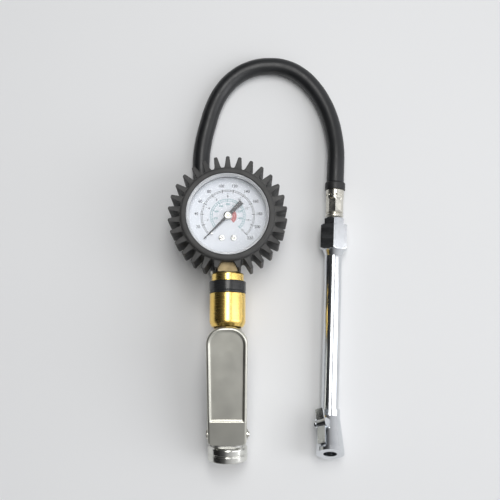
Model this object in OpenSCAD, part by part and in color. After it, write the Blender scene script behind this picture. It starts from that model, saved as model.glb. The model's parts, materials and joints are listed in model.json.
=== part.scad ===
// Tyre inflator with gauge: a trigger gun that lies on its back with the dial facing up.
// X runs across the gun, +Y runs from the grip's butt to the gauge, +Z is up.
// The origin is on the resting surface, under the middle of the gun's length.

/* [Gauge] */
// Outer radius of the gauge's steel case
case_r = 31; // [28:0.5:36]
// Thickness of the case's steel
case_wall = 0.8; // [0.6:0.1:1.2]
// Depth of the case from its back to its rim
case_depth = 29.8; // [27:0.2:34]
// Thickness of the dial plate
dial_t = 0.6; // [0.4:0.1:1]
// Depth from the case's rim down to the dial's face
dial_drop = 8; // [7:0.5:10]
// Thickness of the clear window
window_t = 1.6; // [1:0.1:2.5]
// Length of the pointer from its axis to its tip
pointer_len = 24; // [18:0.5:25]
// Length of the pointer's tail
pointer_tail = 14; // [6:0.5:16]

/* [Movement] */
// Module of the pinion's and sector's teeth
gear_module = 0.4; // [0.3:0.05:0.45]
// Teeth on the pinion
pinion_teeth = 8; // [8:1:10]
// Turns of the pinion for one turn of the sector
gear_ratio = 7.5; // [7:0.5:8]
// Thickness of the two movement plates
plate_t = 1; // [0.8:0.1:1.4]
// Gap between the two movement plates
plate_gap = 7; // [6:0.5:8]
// Middle radius of the bourdon tube's bend
tube_bend_r = 22.9; // [21:0.1:24]

/* [Boot] */
// Wall of the rubber boot around the case
boot_wall = 2.4; // [1.8:0.1:3.5]
// Reach of the lugs beyond the boot's wall
lug_reach = 8.6; // [5:0.2:11]
// Width of a lug at its root
lug_root_w = 4.2; // [3:0.1:5]
// Width of a lug at its tip
lug_tip_w = 2.4; // [1.6:0.1:3]
// Number of places for a lug round the boot
lug_places = 30; // [24:2:36]
// Opening in the boot's front lip, as a radius
lip_r = 29.2; // [26:0.1:30]

/* [Body] */
// Width across the flats of the gauge's square stem
stem_w = 13.6; // [12:0.1:15]
// Radius of the stem's threaded spigot
stem_thread_r = 6.5; // [5:0.1:7]
// Radius of the barrel
barrel_r = 12.6; // [12:0.1:15]
// Radius of the barrel's neck, under the ring and the band
neck_r = 9; // [8.5:0.1:10]
// Radius of the ring that caps the neck
cap_ring_r = 11.3; // [10.5:0.1:13]
// Radius of the black band
band_r = 12.9; // [11.5:0.1:15]
// Radius of the grip's spigot inside the barrel
spigot_r = 8; // [7:0.1:8.4]

/* [Grip] */
// Length of the grip from the barrel to its butt
grip_len = 93; // [88:1:115]
// Width of the grip, between the lever's walls
grip_w = 22.4; // [20:0.2:23]
// Depth of the grip
grip_d = 26; // [25:0.5:30]
// Slope of the grip below the barrel's axis
grip_tilt = 11.3; // [8:0.1:14]
// Radius of the collar at the butt
butt_r = 14; // [13:0.5:16]
// Length of the collar at the butt
butt_len = 10.5; // [8:0.5:14]
// Radius of the threaded air inlet
inlet_r = 5.75; // [5:0.05:6.5]
// Radius of the brass bush that holds the inlet's thread
bush_r = 8; // [7.5:0.1:9]

/* [Lever] */
// Width of the lever at its thumb end
lever_w = 28.4; // [27.5:0.2:32]
// Width of the lever at its pivot end
lever_pivot_w = 26.8; // [26.6:0.2:30]
// Thickness of the lever's sheet
lever_t = 1.5; // [1.2:0.1:1.8]
// Depth of the thumb panel's dish
dish_depth = 1; // [0.5:0.1:1.2]
// Distance from the pivot to the thumb end
lever_reach = 77.1; // [70:0.5:80]
// Angle that the lever travels when it is squeezed
lever_travel = 4; // [3:0.5:4.5]
// Radius of the lever's pin
lever_pin_r = 2; // [1.5:0.1:2.5]

/* [Valve] */
// Distance from the lever's pivot to the valve
valve_arm = 58; // [54:1:60]
// Radius of the valve's push pin
valve_pin_r = 1.5; // [1.2:0.1:1.8]
// Radius of the spring chamber
chamber_r = 4.2; // [4:0.1:5]
// Radius of the valve's seat opening
seat_r = 2.6; // [2.4:0.1:3]

/* [Hose and chuck] */
// Outer radius of the hose
hose_r = 6.4; // [5:0.1:7]
// Radius of the hose's rubber collar at the chuck
collar_r = 7.5; // [7:0.1:9]
// Radius of the crimped ferrule at the chuck
ferrule_r = 6.6; // [6:0.1:8]
// Width across the flats of the small nut
nut_af = 14; // [13:1:16]
// Width across the flats of the large hexagon
hex_af = 19; // [17:1:20]
// Outer radius of the long tube
stem_tube_r = 6.25; // [5.5:0.05:7]
// Length of the long tube that shows
stem_tube_len = 111; // [80:1:150]
// Upward bend of the chuck's head
head_bend = 25; // [15:1:35]
// Radius of the chuck's face
face_r = 9.9; // [9:0.1:12]
// Radius of the socket that goes over a tyre valve
socket_r = 4.8; // [4.5:0.1:5.2]
// Length of the head from its bend to its face
head_len = 27; // [24:1:34]
// Turn of the clip round the head
clip_roll = 35; // [0:5:60]

/* [Hidden] */
$fn = 64;
fine = 128;       // sides on the gauge's large rounds
cut = 0.1;        // how far a cut runs past a face
run_fit = 0.05;   // radial clearance of a part that turns or slides
gap = 0.3;        // room between faces of parts that move past each other
brass = [0.80, 0.62, 0.25];
gold = [0.88, 0.68, 0.22];
nickel = [0.72, 0.72, 0.69];
chrome = [0.86, 0.88, 0.90];
black = [0.10, 0.10, 0.11];

// Heights and places along the gun, from the gauge's centre
grip_y = -(case_r + 47);                         // the barrel's lower end
axis_z = grip_len * sin(grip_tilt) + butt_r * cos(grip_tilt);   // the butt rests on the surface
boot_r = case_r + boot_wall;
lug_tip_r = boot_r + lug_reach;
gun_bottom = grip_y - grip_len * cos(grip_tilt) - butt_r * sin(grip_tilt);
mid_y = -(lug_tip_r + gun_bottom) / 2;
case_back_z = axis_z - case_depth / 2;
case_rim_z = case_back_z + case_depth;
boot_floor = 2;
lip_t = 2;
boot_back_z = case_back_z - boot_floor;
boot_front_z = case_rim_z + lip_t;
boot_back_r = 20;
case_in_r = case_r - case_wall;
lens_fit = 0.1;
lens_r = case_in_r - lens_fit;
dial_top_z = case_rim_z - dial_drop;
pointer_z = dial_top_z + 1.8;
gasket_t = 1.2;
gasket_w = 2;

// Movement
pinion_r = gear_module * pinion_teeth / 2;
sector_r = pinion_r * gear_ratio;
tooth_backlash = 0.1;
centre_dist = pinion_r + sector_r;
sector_dir = 200;
sector_at = centre_dist * [cos(sector_dir), sin(sector_dir)];
pointer_zero = 225;
sweep = 270;
sector_swing = sweep / gear_ratio;
arbor_r = 0.8;
tail_len = 4.5;
tail_dir = 95;
tail_at = sector_at + tail_len * [cos(tail_dir), sin(tail_dir)];
tail_pin_r = 0.5;
plate_back_z = dial_top_z - dial_t - plate_gap - 2 * plate_t - 3.5;
plate_front_z = plate_back_z + plate_t + plate_gap;
sector_z = plate_back_z + plate_t + 3;
sector_t = 1;
link_z = sector_z + sector_t + 0.4;
link_t = 0.6;
hairspring_z = link_z + 1;
hairspring_h = 0.8;
tube_half_w = 1.3;
tube_depth = 9;
tube_z = plate_back_z - 2;
tube_start = -69;
tube_end = 172;
tip_pin_in = 4.3;
tip_pin_at = (tube_bend_r - tip_pin_in) * [cos(tube_end + 7), sin(tube_end + 7)];
tip_pin_r = 0.4;
pillars = [[5.8, 5.8], [6, -6], [-8, -9.5]];
pillar_r = 1.6;
pillar_tail_r = 1;
plate_screws_at = [[3.6, -10], [-3.6, -10]];
plate_screw_r = 1.1;
plate_screw_len = 4;
dial_screws_at = [[4.25, -15.7], [-4.25, -15.7]];
dial_screw_r = 1.1;
dial_screw_len = 5;
socket_w = 15;
socket_step_y = -12.5;
socket_pad_y = -7.5;

// Body, along -Y from the gauge's centre
stem_neck_r = 6;
stem_out = case_r + 0.2;
stem_end = case_r + 8.3;
washer_t = 0.9;
neck_start = stem_end + washer_t;
ring_end = stem_end + 6.7;
band_end = ring_end + 8.5;
stem_thread_end = stem_end + 13.7;
barrel_end = -grip_y;
barrel_taper = 3;
spigot_len = 11.5;
spigot_oring = 0.7;
port_at = barrel_end - 18;
port_screw_r = 5;
port_body_r = 7;
port_bore_r = 2.5;
port_z = 8;
port_spigot_r = 3.7;
port_ferrule_r = 7.9;
port_ferrule_len = 16;

// Grip, in its own sloping frame: -Y runs to the butt and +Z faces the lever
grip_start = 5;
grip_top = grip_d / 2;
grip_corner = 8;
neck_join_r = 10;
neck_join_len = 12;
outlet_r = 1.4;
pivot_s = 74;
pivot_n = 5;
pivot_flat_n = 10;
pivot_flat_start = 62;
valve_s = pivot_s - valve_arm;
bush_len = 13;
inlet_depth = 11.5;
screen_t = 0.6;
screen_r = inlet_r - 0.6;
screen_drop = screen_t + 0.2;
passage_r = 3;
passage_n = -3;
seat_n = 2;
gland_n = 8;
gland_r = 5;
gland_top_n = grip_top - 0.2;
cap_top_n = -9;
oring_wire = 0.55;
flange_n = -0.6;
flange_t = 1.4;
flange_r = 3.6;
valve_tail_n = -4.5;
spring_wire_r = 0.4;
spring_turns = 3;

// Lever, in its own frame about the pivot: +Y runs to the thumb end and +Z is its face
rim_h = 11;
wall_drop = 4.5;
end_drop = 4;
wall_full_at = 22;
bend_at = 11.4;
facet_angle = 8;
low_end = -5.4;
arch_r = 12;
rim_w = 2.2;
panel_under = rim_h - dish_depth - lever_t;
valve_contact_n = pivot_n + valve_arm * sin(lever_travel) + panel_under * cos(lever_travel);
pin_head_r = 3.2;
pin_head_t = 1.2;
clip_t = 0.6;
washer_play = 0.15;

// Chuck, along its own axis from the hose's end
chuck_yaw = 2.2;
chuck_dip = 1.6;
collar_len = 5.6;
ferrule_end = 27;
nut_end = 32.2;
hex_end = 50.6;
hex_neck_end = 54.8;
hex_turn = 6;
chuck_thread_r = 5;
chuck_bore_r = 3;
insert_r = 3.4;
tube_in_r = 3.6;
tube_tail = 8;
tube_stop = hex_neck_end + stem_tube_len + 4;
head_lap = 4;
head_at = tube_stop + 2;
head_collar_r = stem_tube_r + 1.15;
seal_z = head_len - 11;
seal_t = 3;
seal_r = socket_r - 0.5;
socket_floor = seal_z + seal_t + 0.2;
clip_pivot_z = 8;
clip_pivot_y = head_collar_r + 4.2;
clip_w = 6;
claw_w = 3;
clip_pin_r = 1;
ear_t = 1.4;
claw_z = [head_len - 6.5, head_len - 4];

// The hose's route: from the port's ferrule, under the gauge and round to the chuck
hose_route = [
    [-6.5, -case_r - 3, port_z],
    [-9.2, -23, 7.8], [-12.6, -8, 7], [-16, 8, 6.5], [-19, 24, 6.5], [-20.8, 38, 6.5],
    [-21, 52, 6.5], [-19.4, 65, 6.5], [-16.4, 78, 6.5], [-12, 92.5, 6.5], [-5, 106, 6.5], [5, 116.5, 6.5],
    [17, 123, 6.5], [30, 125.2, 6.5], [43, 123.6, 6.5], [54.5, 117.6, 6.5], [64.5, 107.4, 6.5],
    [72, 95, 6.6], [76.8, 82, 7.4], [79.4, 68.5, 9], [80.3, 55, 11], [79.8, 43, 12.1], [79.2, 31, 12.4]
];
hose_steps = 3;
hose_sides = 12;
hose_from = hose_route[0];
hose_to = hose_route[len(hose_route) - 1];
port_lean = atan2(-hose_from[0], hose_from[1] + port_at);
port_reach = norm([hose_from[0], hose_from[1] + port_at]);
port_dir = [hose_from[0], hose_from[1] + port_at, 0] / port_reach;
chuck_dir = [-cos(chuck_dip) * sin(chuck_yaw), -cos(chuck_dip) * cos(chuck_yaw), -sin(chuck_dip)];

// ---- helpers ----

// A point of a smooth curve through p1 and p2, with p0 and p3 as their neighbours
function blend_point(p0, p1, p2, p3, t) =
    0.5 * (2 * p1 + (p2 - p0) * t + (2 * p0 - 5 * p1 + 4 * p2 - p3) * t * t
        + (3 * p1 - p0 - 3 * p2 + p3) * t * t * t);

// The route with a number of steps between each pair of its points
function smooth_route(route, steps) = let (last = len(route) - 1) concat(
    [for (i = [0:last - 1], k = [0:steps - 1])
        blend_point(route[max(i - 1, 0)], route[i], route[i + 1], route[min(i + 2, last)], k / steps)],
    [route[last]]);

function unit(v) = v / norm(v);

// A round bar of radius r swept along a path that is never upright; its two ends may be set square to ends
module sweep_bar(path, r, sides, ends = undef) {
    last = len(path) - 1;
    rings = [for (i = [0:last]) let (
            at_end = is_undef(ends) ? undef : i == 0 ? ends[0] : i == last ? ends[1] : undef,
            ahead = is_undef(at_end) ? unit(path[min(i + 1, last)] - path[max(i - 1, 0)]) : at_end,
            side = unit(cross(ahead, [0, 0, 1])),
            up = cross(side, ahead)
        ) for (k = [0:sides - 1]) let (a = 360 * (k + 0.5) / sides)
            path[i] + r * (cos(a) * side + sin(a) * up)];
    walls = [for (i = [0:last - 1], k = [0:sides - 1]) let (next = (k + 1) % sides)
        [i * sides + k, (i + 1) * sides + k, (i + 1) * sides + next, i * sides + next]];
    first_cap = [for (k = [0:sides - 1]) k];
    last_cap = [for (k = [sides - 1:-1:0]) last * sides + k];
    polyhedron(points = rings, faces = concat([first_cap], walls, [last_cap]), convexity = 8);
}

// An open coil spring standing on its lower end
module coil(mid_r, wire_r, height, turns) {
    per_turn = 20;
    count = per_turn * turns;
    sweep_bar([for (i = [0:count]) let (a = 360 * i / per_turn)
        [mid_r * cos(a), mid_r * sin(a), wire_r + (height - 2 * wire_r) * i / count]], wire_r, 6);
}

module ring(outer, inner, height) {
    difference() {
        cylinder(r = outer, h = height);
        translate([0, 0, -cut]) cylinder(r = inner, h = height + 2 * cut);
    }
}

module oring(mid_r, wire_r) {
    rotate_extrude($fn = 48) translate([mid_r, 0]) circle(r = wire_r, $fn = 24);
}

module rounded_rect(w, h, r) {
    square([w - 2 * r, h], center = true);
    square([w, h - 2 * r], center = true);
    for (x = [-1, 1], y = [-1, 1]) translate([x * (w / 2 - r), y * (h / 2 - r)]) circle(r = r);
}

// A slot from the origin along +X, rounded at both ends
module slot(length, r) {
    circle(r = r);
    translate([length, 0]) circle(r = r);
    translate([0, -r]) square([length, 2 * r]);
}

module hexagon(af, height) {
    rotate([0, 0, 30 + hex_turn]) cylinder(r = af / sqrt(3), h = height, $fn = 6);
}

// ---- frames ----

// The gauge's centre, on the resting surface
module placed() {
    translate([0, mid_y, 0]) children();
}

// The barrel's axis: +Z here runs from the gauge's centre towards the butt
module barrel_frame() {
    placed() translate([0, 0, axis_z]) rotate([90, 0, 0]) children();
}

module port_frame() {
    placed() translate([0, -port_at, port_z]) rotate([0, 0, port_lean]) rotate([-90, 0, 0]) children();
}

module grip_frame() {
    placed() translate([0, grip_y, axis_z]) rotate([grip_tilt, 0, 0]) children();
}

// The grip's long axis: +Z here runs to the butt
module grip_axis() {
    grip_frame() rotate([90, 0, 0]) children();
}

module valve_frame() {
    grip_frame() translate([0, -valve_s, 0]) children();
}

module lever_frame() {
    grip_frame() translate([0, -pivot_s, pivot_n]) rotate([lever_travel, 0, 0]) children();
}

module chuck_frame() {
    placed() translate(hose_to) rotate([0, 0, -chuck_yaw]) rotate([90 + chuck_dip, 0, 0]) children();
}

module head_frame() {
    chuck_frame() translate([0, 0, head_at]) rotate([-head_bend, 0, 0]) children();
}

module clip_frame() {
    head_frame() rotate([0, 0, clip_roll]) children();
}

// ---- gauge ----

module lug() {
    root = boot_r - boot_wall / 2;
    polygon([[root, -lug_root_w / 2], [lug_tip_r - lug_tip_w / 2, -lug_tip_w / 2],
        [lug_tip_r - lug_tip_w / 2, lug_tip_w / 2], [root, lug_root_w / 2]]);
    translate([lug_tip_r - lug_tip_w / 2, 0]) circle(r = lug_tip_w / 2, $fn = 24);
}

module rubber_boot() {
    edge = 1.2;
    case_fit = 0.02;
    lug_z = [boot_back_z + 3, boot_front_z - 3];
    notch = stem_w + 3;
    color(black) placed() difference() {
        union() {
            rotate_extrude($fn = fine) polygon([
                [boot_back_r, boot_back_z], [boot_r - edge, boot_back_z], [boot_r, boot_back_z + edge],
                [boot_r, boot_front_z - edge], [boot_r - edge, boot_front_z], [lip_r + 0.6, boot_front_z],
                [lip_r, boot_front_z - 0.6], [lip_r, case_rim_z + case_fit],
                [case_r + case_fit, case_rim_z + case_fit], [case_r + case_fit, case_back_z],
                [boot_back_r, case_back_z]]);
            for (k = [0:lug_places - 1]) if (k != lug_places / 2)
                translate([0, 0, lug_z[0]]) rotate([0, 0, 90 + 360 * k / lug_places])
                    linear_extrude(lug_z[1] - lug_z[0]) lug();
        }
        translate([-notch / 2, -lug_tip_r, axis_z - notch / 2]) cube([notch, lug_tip_r - case_in_r, notch]);
        translate([-band_r - gap, -lug_tip_r - cut, boot_back_z])
            cube([2 * (band_r + gap), lug_tip_r - stem_end + 2 * gap, boot_front_z]);
    }
}

module gauge_case() {
    color(nickel) placed() difference() {
        translate([0, 0, case_back_z]) cylinder(r = case_r, h = case_depth, $fn = fine);
        translate([0, 0, case_back_z + case_wall]) cylinder(r = case_in_r, h = case_depth, $fn = fine);
        translate([0, 0, axis_z]) rotate([90, 0, 0]) cylinder(r = stem_neck_r + run_fit, h = case_r + cut);
    }
}

module gauge_lens() {
    step = 0.8;
    step_w = 0.95;
    front = boot_front_z - 0.6;
    skirt_z = dial_top_z + gasket_t;
    skirt_r = lens_r - gasket_w;
    window_z = front - 2 * step - window_t;
    color([0.85, 0.92, 0.95, 0.35]) placed() rotate_extrude($fn = fine) polygon([
        [0, window_z], [skirt_r, window_z], [skirt_r, skirt_z], [lens_r, skirt_z], [lens_r, case_rim_z],
        [lip_r - lens_fit, case_rim_z], [lip_r - lens_fit, front], [lip_r - step_w, front],
        [lip_r - step_w, front - step], [lip_r - 2 * step_w, front - step],
        [lip_r - 2 * step_w, front - 2 * step], [0, front - 2 * step]]);
}

module lens_gasket() {
    color(black) placed() translate([0, 0, dial_top_z]) rotate_extrude($fn = fine)
        translate([lens_r - gasket_w, 0]) square([gasket_w, gasket_t]);
}

module dial_plate() {
    dial_r = lens_r;
    shaft_hole_r = 2;
    screw_hole_r = 1.2;
    color([0.96, 0.97, 0.97]) placed() translate([0, 0, dial_top_z - dial_t]) difference() {
        cylinder(r = dial_r, h = dial_t, $fn = fine);
        translate([0, 0, -cut]) cylinder(r = shaft_hole_r, h = dial_t + 2 * cut);
        for (p = dial_screws_at)
            translate([p[0], p[1], -cut]) cylinder(r = screw_hole_r, h = dial_t + 2 * cut);
    }
}

module dial_screws() {
    head_r = 2.1;
    head_t = 0.8;
    color(chrome) placed() for (p = dial_screws_at) translate([p[0], p[1], dial_top_z]) difference() {
        union() {
            cylinder(r = head_r, h = head_t);
            translate([0, 0, -dial_screw_len]) cylinder(r = dial_screw_r, h = dial_screw_len + cut);
        }
        translate([-head_r - cut, -0.3, head_t - 0.4]) cube([2 * head_r + 2 * cut, 0.6, 0.5]);
    }
}

module pointer() {
    hub_r = 3;
    hub_h = 1.3;
    blade_t = 0.5;
    color([0.15, 0.15, 0.17]) placed() translate([0, 0, pointer_z]) rotate([0, 0, pointer_zero])
    difference() {
        union() {
            linear_extrude(blade_t) polygon([[0, -1.1], [pointer_len, -0.25], [pointer_len, 0.25], [0, 1.1],
                [-pointer_tail, 1.55], [-pointer_tail, -1.55]]);
            cylinder(r = hub_r, h = hub_h);
        }
        translate([0, 0, -cut]) cylinder(r = arbor_r, h = hub_h + 2 * cut);
    }
}

module stop_pin() {
    stop_r = 0.45;
    stop_at = 17;
    color(nickel) placed() rotate([0, 0, pointer_zero + 4.5]) translate([stop_at, 0, dial_top_z])
        cylinder(r = stop_r, h = pointer_z - dial_top_z + 1);
}

module tube_shape(wall) {
    corner = 1.2;
    rotate([0, 0, tube_start]) rotate_extrude(angle = tube_end - tube_start, $fn = fine)
        translate([tube_bend_r, tube_depth / 2]) difference() {
            rounded_rect(2 * tube_half_w, tube_depth, corner);
            if (wall > 0) rounded_rect(2 * (tube_half_w - wall), tube_depth - 2 * wall, corner - wall);
        }
}

module bourdon_tube() {
    color(brass) placed() translate([0, 0, tube_z]) tube_shape(0.35);
}

module tube_tip() {
    block_w = 2 * tube_half_w + 1.6;
    block_len = 3.4;
    cap_t = 0.7;
    arm_t = 0.8;
    arm_len = tip_pin_in - block_w / 2 + 1;
    block_top = link_z - 0.3;
    color(brass) placed() {
        rotate([0, 0, tube_end]) {
            translate([tube_bend_r - block_w / 2, 0, tube_z])
                cube([block_w, block_len, block_top - tube_z]);
            translate([tube_bend_r - block_w / 2, 0, tube_z]) cube([block_w, cap_t, tube_depth]);
            translate([tube_bend_r - block_w / 2 - arm_len, 0.2, block_top - arm_t])
                cube([arm_len + 0.2, block_len - 0.4, arm_t]);
        }
        translate([tip_pin_at[0], tip_pin_at[1], block_top - arm_t / 2])
            cylinder(r = tip_pin_r, h = link_t + arm_t / 2 + 0.6);
    }
}

// The link's far eye is a slot, because the tip's own flexing is left out
module link() {
    slot_r = tip_pin_r + 0.35;
    slot_len = 2 * tail_len * sin(sector_swing / 2) + 0.12;
    slot_turn = tail_dir + sector_swing / 2 - 90;
    eye = 0.7;
    reach = tip_pin_at - tail_at;
    dir = atan2(reach[1], reach[0]);
    color(brass) placed() translate([tail_at[0], tail_at[1], link_z]) linear_extrude(link_t)
    difference() {
        union() {
            circle(r = tail_pin_r + eye);
            rotate(dir) translate([0, -0.6]) square([norm(reach) - 1.2, 1.2]);
            translate(reach) rotate(slot_turn) slot(slot_len, slot_r + eye);
        }
        circle(r = tail_pin_r + run_fit);
        translate(reach) rotate(slot_turn) slot(slot_len, slot_r);
    }
}

// One tooth of a gear of pitch radius r, standing on its root circle
module tooth(r, addendum, dedendum) {
    half = PI * gear_module / 4 - tooth_backlash / 2;
    slope = 0.36;
    polygon([[r - dedendum - 0.05, -half - slope * dedendum], [r + addendum, -half + slope * addendum],
        [r + addendum, half - slope * addendum], [r - dedendum - 0.05, half + slope * dedendum]]);
}

module sector_gear() {
    root = sector_r - 1.1 * gear_module;
    far = 2 * sector_r;
    web = 2.4;
    rim = 2;
    hub_r = 2.4;
    tail_w = 2.2;
    mesh_dir = sector_dir - 180;
    teeth_mid = mesh_dir - sector_swing / 2;
    pitch = 360 / (pinion_teeth * gear_ratio);
    half_span = sector_swing / 2 + 2 * pitch;
    side_dir = half_span + 4;
    count = floor(half_span / pitch);
    color(brass) placed() {
        translate([sector_at[0], sector_at[1], sector_z]) {
            linear_extrude(sector_t) {
                difference() {
                    intersection() {
                        circle(r = root, $fn = fine);
                        polygon([[0, 0], far * [cos(teeth_mid - side_dir), sin(teeth_mid - side_dir)],
                            far * [cos(teeth_mid), sin(teeth_mid)],
                            far * [cos(teeth_mid + side_dir), sin(teeth_mid + side_dir)]]);
                    }
                    difference() {
                        circle(r = root - rim, $fn = fine);
                        circle(r = 2 * hub_r, $fn = fine);
                        rotate(teeth_mid) translate([0, -web / 2]) square([sector_r, web]);
                    }
                }
                circle(r = hub_r);
                rotate(tail_dir) translate([0, -tail_w / 2]) square([tail_len, tail_w]);
                rotate(tail_dir) translate([tail_len, 0]) circle(r = tail_w / 2);
                for (k = [-count - ceil(sector_swing / pitch / 2):count])
                    if (abs(mesh_dir + k * pitch - teeth_mid) <= half_span)
                        rotate(mesh_dir + k * pitch) tooth(sector_r, 0.75 * gear_module, 1.1 * gear_module);
            }
            translate([0, 0, plate_back_z - sector_z]) cylinder(r = arbor_r, h = 2 * plate_t + plate_gap);
        }
        translate([tail_at[0], tail_at[1], sector_z + sector_t - cut])
            cylinder(r = tail_pin_r, h = link_z - sector_z - sector_t + link_t + cut + 0.2);
    }
}

module pinion_shaft() {
    pinion_h = 3;
    collet_r = 1.5;
    color(brass) placed() {
        translate([0, 0, sector_z - 1]) linear_extrude(pinion_h) {
            circle(r = pinion_r - 1.1 * gear_module);
            for (k = [0:pinion_teeth - 1]) rotate(sector_dir + 360 * (k + 0.5) / pinion_teeth)
                tooth(pinion_r, 0.75 * gear_module, 1.1 * gear_module);
        }
        translate([0, 0, plate_back_z]) cylinder(r = arbor_r, h = pointer_z + 1 - plate_back_z);
        translate([0, 0, hairspring_z - 0.1]) cylinder(r = collet_r, h = hairspring_h + 0.2);
    }
}

module hairspring() {
    inner = 1.6;
    strip = 0.22;
    outer = norm(pillars[0]) - pillar_r - strip / 2;
    turns = 4;
    count = 24 * turns;
    line = [for (i = [0:count]) let (a = 45 - 360 * turns + 360 * turns * i / count,
        r = inner + strip / 2 + (outer - inner - strip / 2) * i / count) [r, a]];
    color(nickel) placed() translate([0, 0, hairspring_z]) linear_extrude(hairspring_h) polygon(concat(
        [for (p = line) (p[0] - strip / 2) * [cos(p[1]), sin(p[1])]],
        [for (i = [count:-1:0]) (line[i][0] + strip / 2) * [cos(line[i][1]), sin(line[i][1])]]));
}

module plate_outline() {
    edge = 3;
    difference() {
        union() {
            polygon([sector_at + [-edge, -edge], [-10.5, -12.3], [8.2, -12.3], [8.2, 8], [3, 8],
                sector_at + [0, edge + 1.4], sector_at + [-edge, edge]]);
            translate(sector_at) circle(r = edge);
        }
        circle(r = arbor_r + run_fit);
        translate(sector_at) circle(r = arbor_r + run_fit);
    }
}

module back_plate() {
    color(brass) placed() translate([0, 0, plate_back_z]) linear_extrude(plate_t) difference() {
        plate_outline();
        for (p = plate_screws_at) translate(p) circle(r = plate_screw_r);
    }
}

module front_plate() {
    color(brass) placed() translate([0, 0, plate_front_z]) linear_extrude(plate_t) difference() {
        plate_outline();
        for (p = pillars) translate(p) circle(r = pillar_tail_r);
    }
}

module plate_pillars() {
    rivet_h = 0.6;
    color(brass) placed() for (p = pillars) translate([p[0], p[1], plate_back_z + plate_t]) {
        cylinder(r = pillar_r, h = plate_gap);
        cylinder(r = pillar_tail_r, h = plate_gap + plate_t);
        translate([0, 0, plate_gap + plate_t]) cylinder(r = pillar_r, h = rivet_h);
    }
}

module plate_screws() {
    head_r = 2;
    head_h = 1.2;
    color(nickel) placed() for (p = plate_screws_at)
        translate([p[0], p[1], plate_back_z - plate_screw_len]) {
            cylinder(r = plate_screw_r, h = plate_screw_len + plate_t + cut);
            translate([0, 0, plate_screw_len + plate_t]) cylinder(r = head_r, h = head_h);
        }
}

module gauge_socket() {
    block_top = dial_top_z - dial_t;
    block_bottom = tube_z - 4;
    block_start = -sqrt(pow(case_in_r - 0.2, 2) - pow(socket_w / 2, 2));
    gallery_y = -20;
    gallery_r = 1.5;
    feed_r = 0.9;
    color(brass) placed() difference() {
        union() {
            translate([-socket_w / 2, block_start, block_bottom])
                cube([socket_w, socket_step_y - block_start, block_top - block_bottom]);
            translate([-socket_w / 2, block_start, block_bottom])
                cube([socket_w, socket_pad_y - block_start, plate_back_z - block_bottom]);
            translate([0, block_start + 2, axis_z]) rotate([90, 0, 0])
                cylinder(r = stem_neck_r, h = stem_out + block_start + 2);
            translate([-stem_w / 2, -stem_end, axis_z - stem_w / 2])
                cube([stem_w, stem_end - stem_out, stem_w]);
            translate([0, -stem_end, axis_z]) rotate([90, 0, 0])
                cylinder(r = stem_thread_r, h = stem_thread_end - stem_end);
        }
        translate([0, gallery_y, axis_z]) rotate([90, 0, 0])
            cylinder(r = gallery_r, h = stem_thread_end + gallery_y + cut);
        translate([0, gallery_y - gallery_r, axis_z]) rotate([0, 90, 0]) cylinder(r = feed_r, h = socket_w);
        translate([0, 0, tube_z]) tube_shape(0);
        for (p = dial_screws_at)
            translate([p[0], p[1], dial_top_z - dial_screw_len])
                cylinder(r = dial_screw_r, h = dial_screw_len + 1);
        for (p = plate_screws_at)
            translate([p[0], p[1], plate_back_z - plate_screw_len])
                cylinder(r = plate_screw_r, h = plate_screw_len + 1);
    }
}

// ---- body ----

module stem_washer() {
    color(brass) barrel_frame() translate([0, 0, stem_end]) ring(neck_r, stem_thread_r, washer_t);
}

module cap_ring() {
    edge = 0.9;
    color(gold) barrel_frame() rotate_extrude() polygon([
        [neck_r, neck_start], [cap_ring_r - edge, neck_start], [cap_ring_r, neck_start + edge],
        [cap_ring_r, ring_end], [neck_r, ring_end]]);
}

module neck_band() {
    edge = 0.5;
    color(black) barrel_frame() rotate_extrude() polygon([
        [neck_r, ring_end], [band_r - edge, ring_end], [band_r, ring_end + edge],
        [band_r, band_end - edge], [band_r - edge, band_end], [neck_r, band_end]]);
}

module barrel() {
    bore_r = 3;
    color(gold) barrel_frame() difference() {
        union() {
            translate([0, 0, neck_start]) cylinder(r = neck_r, h = band_end - neck_start + cut);
            translate([0, 0, band_end]) cylinder(r = barrel_r, h = barrel_end - barrel_taper - band_end);
            translate([0, 0, barrel_end - barrel_taper])
                cylinder(r1 = barrel_r, r2 = barrel_r - 1.6, h = barrel_taper);
        }
        translate([0, 0, neck_start - cut])
            cylinder(r = stem_thread_r, h = stem_thread_end - neck_start + cut + 0.2);
        translate([0, 0, stem_thread_end]) cylinder(r = bore_r, h = barrel_end - stem_thread_end);
        translate([0, 0, barrel_end - spigot_len]) cylinder(r = spigot_r, h = spigot_len + cut);
        translate([0, 0, port_at]) rotate([90, 0, 0]) {
            cylinder(r = port_bore_r, h = barrel_r);
            translate([0, 0, barrel_r / 2]) cylinder(r = port_screw_r, h = barrel_r);
        }
    }
}

module barrel_oring() {
    color(black) barrel_frame() translate([0, 0, barrel_end - spigot_len / 2])
        oring(spigot_r - spigot_oring, spigot_oring);
}

module hose_port() {
    top = axis_z - barrel_r / 2 - 0.2;
    shoulder = port_reach - port_ferrule_len;
    color(brass) difference() {
        union() {
            placed() translate([0, -port_at, port_z - port_body_r])
                cylinder(r = port_body_r, h = axis_z - barrel_r - port_z + port_body_r - gap);
            placed() translate([0, -port_at, port_z]) cylinder(r = port_screw_r - 0.01, h = top - port_z);
            port_frame() cylinder(r = port_body_r - 0.5, h = shoulder);
            port_frame() cylinder(r = port_spigot_r, h = port_reach);
        }
        placed() translate([0, -port_at, port_z - port_bore_r])
            cylinder(r = port_bore_r, h = top - port_z + port_bore_r + cut);
        port_frame() cylinder(r = port_bore_r - 0.4, h = port_reach + cut);
    }
}

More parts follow.
